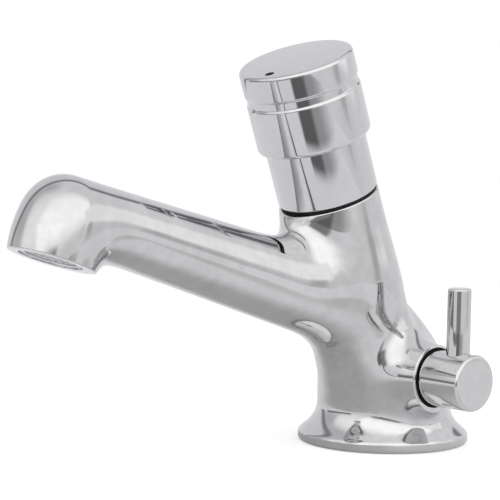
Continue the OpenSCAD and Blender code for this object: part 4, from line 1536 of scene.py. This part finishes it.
@dataclass
class Studio:
    """Floor, surroundings and camera. The surroundings light the tap. Lengths on the floor are in metres."""

    azimuth: float = 46.454
    pitch: float = 5.436
    roll: float = 1.004
    distance: float = 729.652
    aside: float = -43.315
    aim_h: float = 59.967
    angle: float = 12.396
    floor_r: float = 0.45
    floor_sides: int = 96
    floor_dark: Triple = (0.70, 0.70, 0.72)
    floor_pale: Triple = (0.74, 0.74, 0.76)
    floor_rough: float = 0.9
    mottle_scale: float = 9.0
    mottle_detail: float = 3.0
    # Painted reflection: beyond the table's edge the floor shows far_dark, far_dim and far_pale only in the chrome, by
    # turn round the tap.
    table_azimuth: float = 32.0
    table_edge: float = 0.165
    table_soft: float = 0.014
    far_from: float = 28.0
    far_to: float = 98.0
    far_soft: float = 2.5
    dusk: tuple[float, float] = (49.0, 57.0)
    dawn: tuple[float, float] = (62.0, 98.0)
    far_dark: Triple = (0.12, 0.12, 0.122)
    far_dim: Triple = (0.36, 0.36, 0.365)
    far_pale: Triple = (0.88, 0.88, 0.885)
    camera_lift: float = 0.45
    # Painted glow of the floor near the tap, seen only in the chrome.
    painted_mirror_glow: float = 0.15
    dome_low: Triple = (0.82, 0.82, 0.835)
    dome_high: Triple = (0.88, 0.88, 0.89)
    dome_rise: tuple[float, float] = (-0.05, 0.6)
    panels: tuple[Panel, ...] = (
        Card(-60.0, 38.0, 20.0, (0.60, 0.60, 0.61), 44.0, 74.0),
        Card(25.0, 44.0, 28.0, (1.10, 1.10, 1.09), 120.0, 62.0),
        Card(64.0, 42.0, 20.0, (1.40, 1.39, 1.37), 112.0, 58.0),
        Disc(-122.0, 15.0, 3.0, (0.28, 0.28, 0.285), 48.0),
        Disc(-122.0, 15.0, 3.5, (0.80, 0.795, 0.825), 39.5),
        Card(-166.0, 0.0, 4.0, (0.84, 0.84, 0.855), 26.0, 34.0),
        Card(136.0, 16.0, 4.0, (1.12, 1.12, 1.11), 46.0, 24.0),
        Card(129.0, -7.0, 4.0, (0.78, 0.78, 0.79), 30.0, 18.0),
        Card(-40.0, -5.0, 3.0, (0.22, 0.22, 0.223), 52.0, 18.0),
        Card(38.0, -4.0, 5.0, (0.28, 0.28, 0.283), 40.0, 20.0),
        Card(127.0, 0.0, 3.5, (0.56, 0.56, 0.565), 12.0, 11.0),
        Card(2.0, -11.0, 1.5, (0.12, 0.12, 0.122), 36.0, 7.0),
        Card(108.0, -5.0, 3.0, (0.82, 0.82, 0.825), 12.0, 26.0),
    )
    # Painted shade on the floor, seen only in the chrome: the first oval is the tap's shadow under the spout, the
    # second a darker oval beside the lever, the third a dark stretch far in front of the tap.
    painted_shade_patches: tuple[Patch, ...] = (
        Patch(-0.012, -0.058, 0.042, 0.082, 0.45, (0.38, 0.38, 0.382)),
        Patch(0.110, 0.000, 0.045, 0.024, 0.50, (0.52, 0.52, 0.522)),
        Patch(0.120, -0.425, 0.200, 0.130, 0.15, (0.03, 0.03, 0.031)),
    )

    def camera(self) -> None:
        """Makes the camera at the photograph's place."""
        across, back, r = level(self.azimuth), heading(self.azimuth, self.pitch), math.radians(self.roll)
        upright = back.cross(across)
        right = across * math.cos(r) + upright * math.sin(r)
        up = upright * math.cos(r) - across * math.sin(r)
        place = Vector((0, 0, self.aim_h)) + across * self.aside + back * self.distance
        data = bpy.data.cameras.new("camera")
        data.sensor_fit = "HORIZONTAL"
        data.angle = math.radians(self.angle)
        made = bpy.data.objects.new("camera", data)
        made.matrix_world = Matrix.Translation(place * MM) @ Matrix((right, up, back)).transposed().to_4x4()
        bpy.context.scene.collection.objects.link(made)
        bpy.context.scene.camera = made

    def floor(self) -> None:
        """Makes the pale floor, white to the camera and with the tap's shadow."""
        bm = bmesh.new()
        bmesh.ops.create_circle(bm, cap_ends=True, radius=self.floor_r, segments=self.floor_sides)
        mesh = bpy.data.meshes.new("floor")
        bm.to_mesh(mesh)
        bm.free()
        made = bpy.data.objects.new("floor", mesh)
        bpy.context.scene.collection.objects.link(made)
        mesh.materials.append(self.floor_material())

    def floor_material(self) -> bpy.types.Material:
        """Makes the floor's material, with tones of its own in the chrome: painted shade, a painted reflection beyond
        the table's edge and a painted glow near the tap.

        Returns:
            The material.
        """
        material = bpy.data.materials.new("pale_floor")
        material.use_nodes = True
        graph = Graph(material.node_tree)
        shader = graph.tree.nodes["Principled BSDF"]
        place = graph.add("ShaderNodeTexCoord").outputs["Object"]
        mottle = graph.noise(place, self.mottle_scale, self.mottle_detail)
        tone = graph.blend(mottle, (*self.floor_dark, 1.0), (*self.floor_pale, 1.0))
        path = graph.add("ShaderNodeLightPath").outputs
        mirrored = path["Is Glossy Ray"]
        # Painted shade: each patch darkens the floor only as the chrome sees it.
        for patch in self.painted_shade_patches:
            shown = graph.math("MULTIPLY", mirrored, patch.mask(graph, place))
            tone = graph.blend(shown, tone, (*patch.colour, 1.0))
        # Painted reflection: beyond the table's edge the chrome sees a dark to pale floor by turn round the tap, while
        # the camera sees white.
        far, turn = self.far_side(graph, place)
        dusk, dawn = (graph.span(turn, *map(math.radians, ends), 0.0, 1.0) for ends in (self.dusk, self.dawn))
        pale = graph.blend(dawn, (*self.far_dim, 1.0), (*self.far_pale, 1.0))
        room = graph.blend(dusk, (*self.far_dark, 1.0), pale)
        tone = graph.blend(graph.math("MULTIPLY", mirrored, far), tone, room)
        graph.feed(shader, Base_Color=tone, Roughness=self.floor_rough)
        lift = graph.math("MULTIPLY", path["Is Camera Ray"], self.camera_lift)
        # Painted glow: near the tap the floor glows a little more as the chrome sees it.
        near = graph.math("SUBTRACT", 1.0, far)
        seen = graph.math("MULTIPLY", graph.math("MULTIPLY", mirrored, self.painted_mirror_glow), near)
        glow = graph.feed(graph.add("ShaderNodeEmission"), Color=WHITE)
        graph.feed(glow, Strength=graph.math("ADD", lift, seen))
        both = graph.add("ShaderNodeAddShader")
        for target, source in zip(both.inputs, (shader, glow)):
            graph.plug(target, source.outputs[0])
        graph.feed(graph.tree.nodes["Material Output"], Surface=both.outputs[0])
        return material

    def far_side(self, graph: Graph, place: Socket) -> tuple[Socket, Socket]:
        """Masks the floor beyond the table's edge, on the camera's side, where the chrome sees a painted reflection of
        darker surroundings.

        Args:
            graph: Graph of the floor's material.
            place: Place on the floor.

        Returns:
            The mask, and the turn around the tap in radians.
        """
        parts = graph.feed(graph.add("ShaderNodeSeparateXYZ"), Vector=place)
        x, y = parts.outputs[0], parts.outputs[1]
        turn = graph.math("ARCTAN2", x, graph.math("MULTIPLY", y, -1.0))
        middle, half = (self.far_from + self.far_to) / 2, (self.far_to - self.far_from) / 2
        aside = graph.math("ABSOLUTE", graph.math("SUBTRACT", turn, math.radians(middle)))
        wide, soft = math.radians(half), math.radians(self.far_soft)
        inside = graph.span(aside, wide - soft, wide + soft, 1.0, 0.0)
        lean = math.radians(self.table_azimuth)
        sideways, ahead = graph.math("MULTIPLY", x, math.sin(lean)), graph.math("MULTIPLY", y, math.cos(lean))
        toward = graph.math("SUBTRACT", sideways, ahead)
        beyond = graph.span(toward, self.table_edge - self.table_soft, self.table_edge + self.table_soft, 0.0, 1.0)
        return graph.math("MULTIPLY", inside, beyond), turn

    def surroundings(self) -> None:
        """Makes the world: a pale dome with its panels, white to the camera."""
        world = bpy.data.worlds.new("surroundings")
        world.use_nodes = True
        bpy.context.scene.world = world
        graph = Graph(world.node_tree)
        direction = graph.add("ShaderNodeTexCoord").outputs["Generated"]
        parts = graph.feed(graph.add("ShaderNodeSeparateXYZ"), Vector=direction)
        rise = graph.span(parts.outputs[2], *self.dome_rise, 0.0, 1.0)
        colour = graph.blend(rise, (*self.dome_low, 1.0), (*self.dome_high, 1.0))
        for panel in self.panels:
            colour = graph.blend(panel.mask(graph, direction), colour, (*panel.colour, 1.0))
        path = graph.add("ShaderNodeLightPath").outputs
        shown = graph.blend(path["Is Camera Ray"], colour, WHITE)
        graph.feed(graph.tree.nodes["Background"], Color=shown, Strength=1.0)

    def build(self) -> None:
        """Makes the whole studio."""
        self.camera()
        self.floor()
        self.surroundings()
        bpy.context.scene.view_settings.view_transform = "Standard"


def main() -> None:
    """Builds the tap and its studio."""
    logging.basicConfig(level=logging.INFO, format="%(name)s %(message)s")
    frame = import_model()
    Studio().build()
    for assembly in (CastBody(), PushHead(), SideLever(), Outlet(), DeckSeal()):
        assembly.build()
    Works().dress(frame["nodes"])


if __name__ == "__main__":
    main()
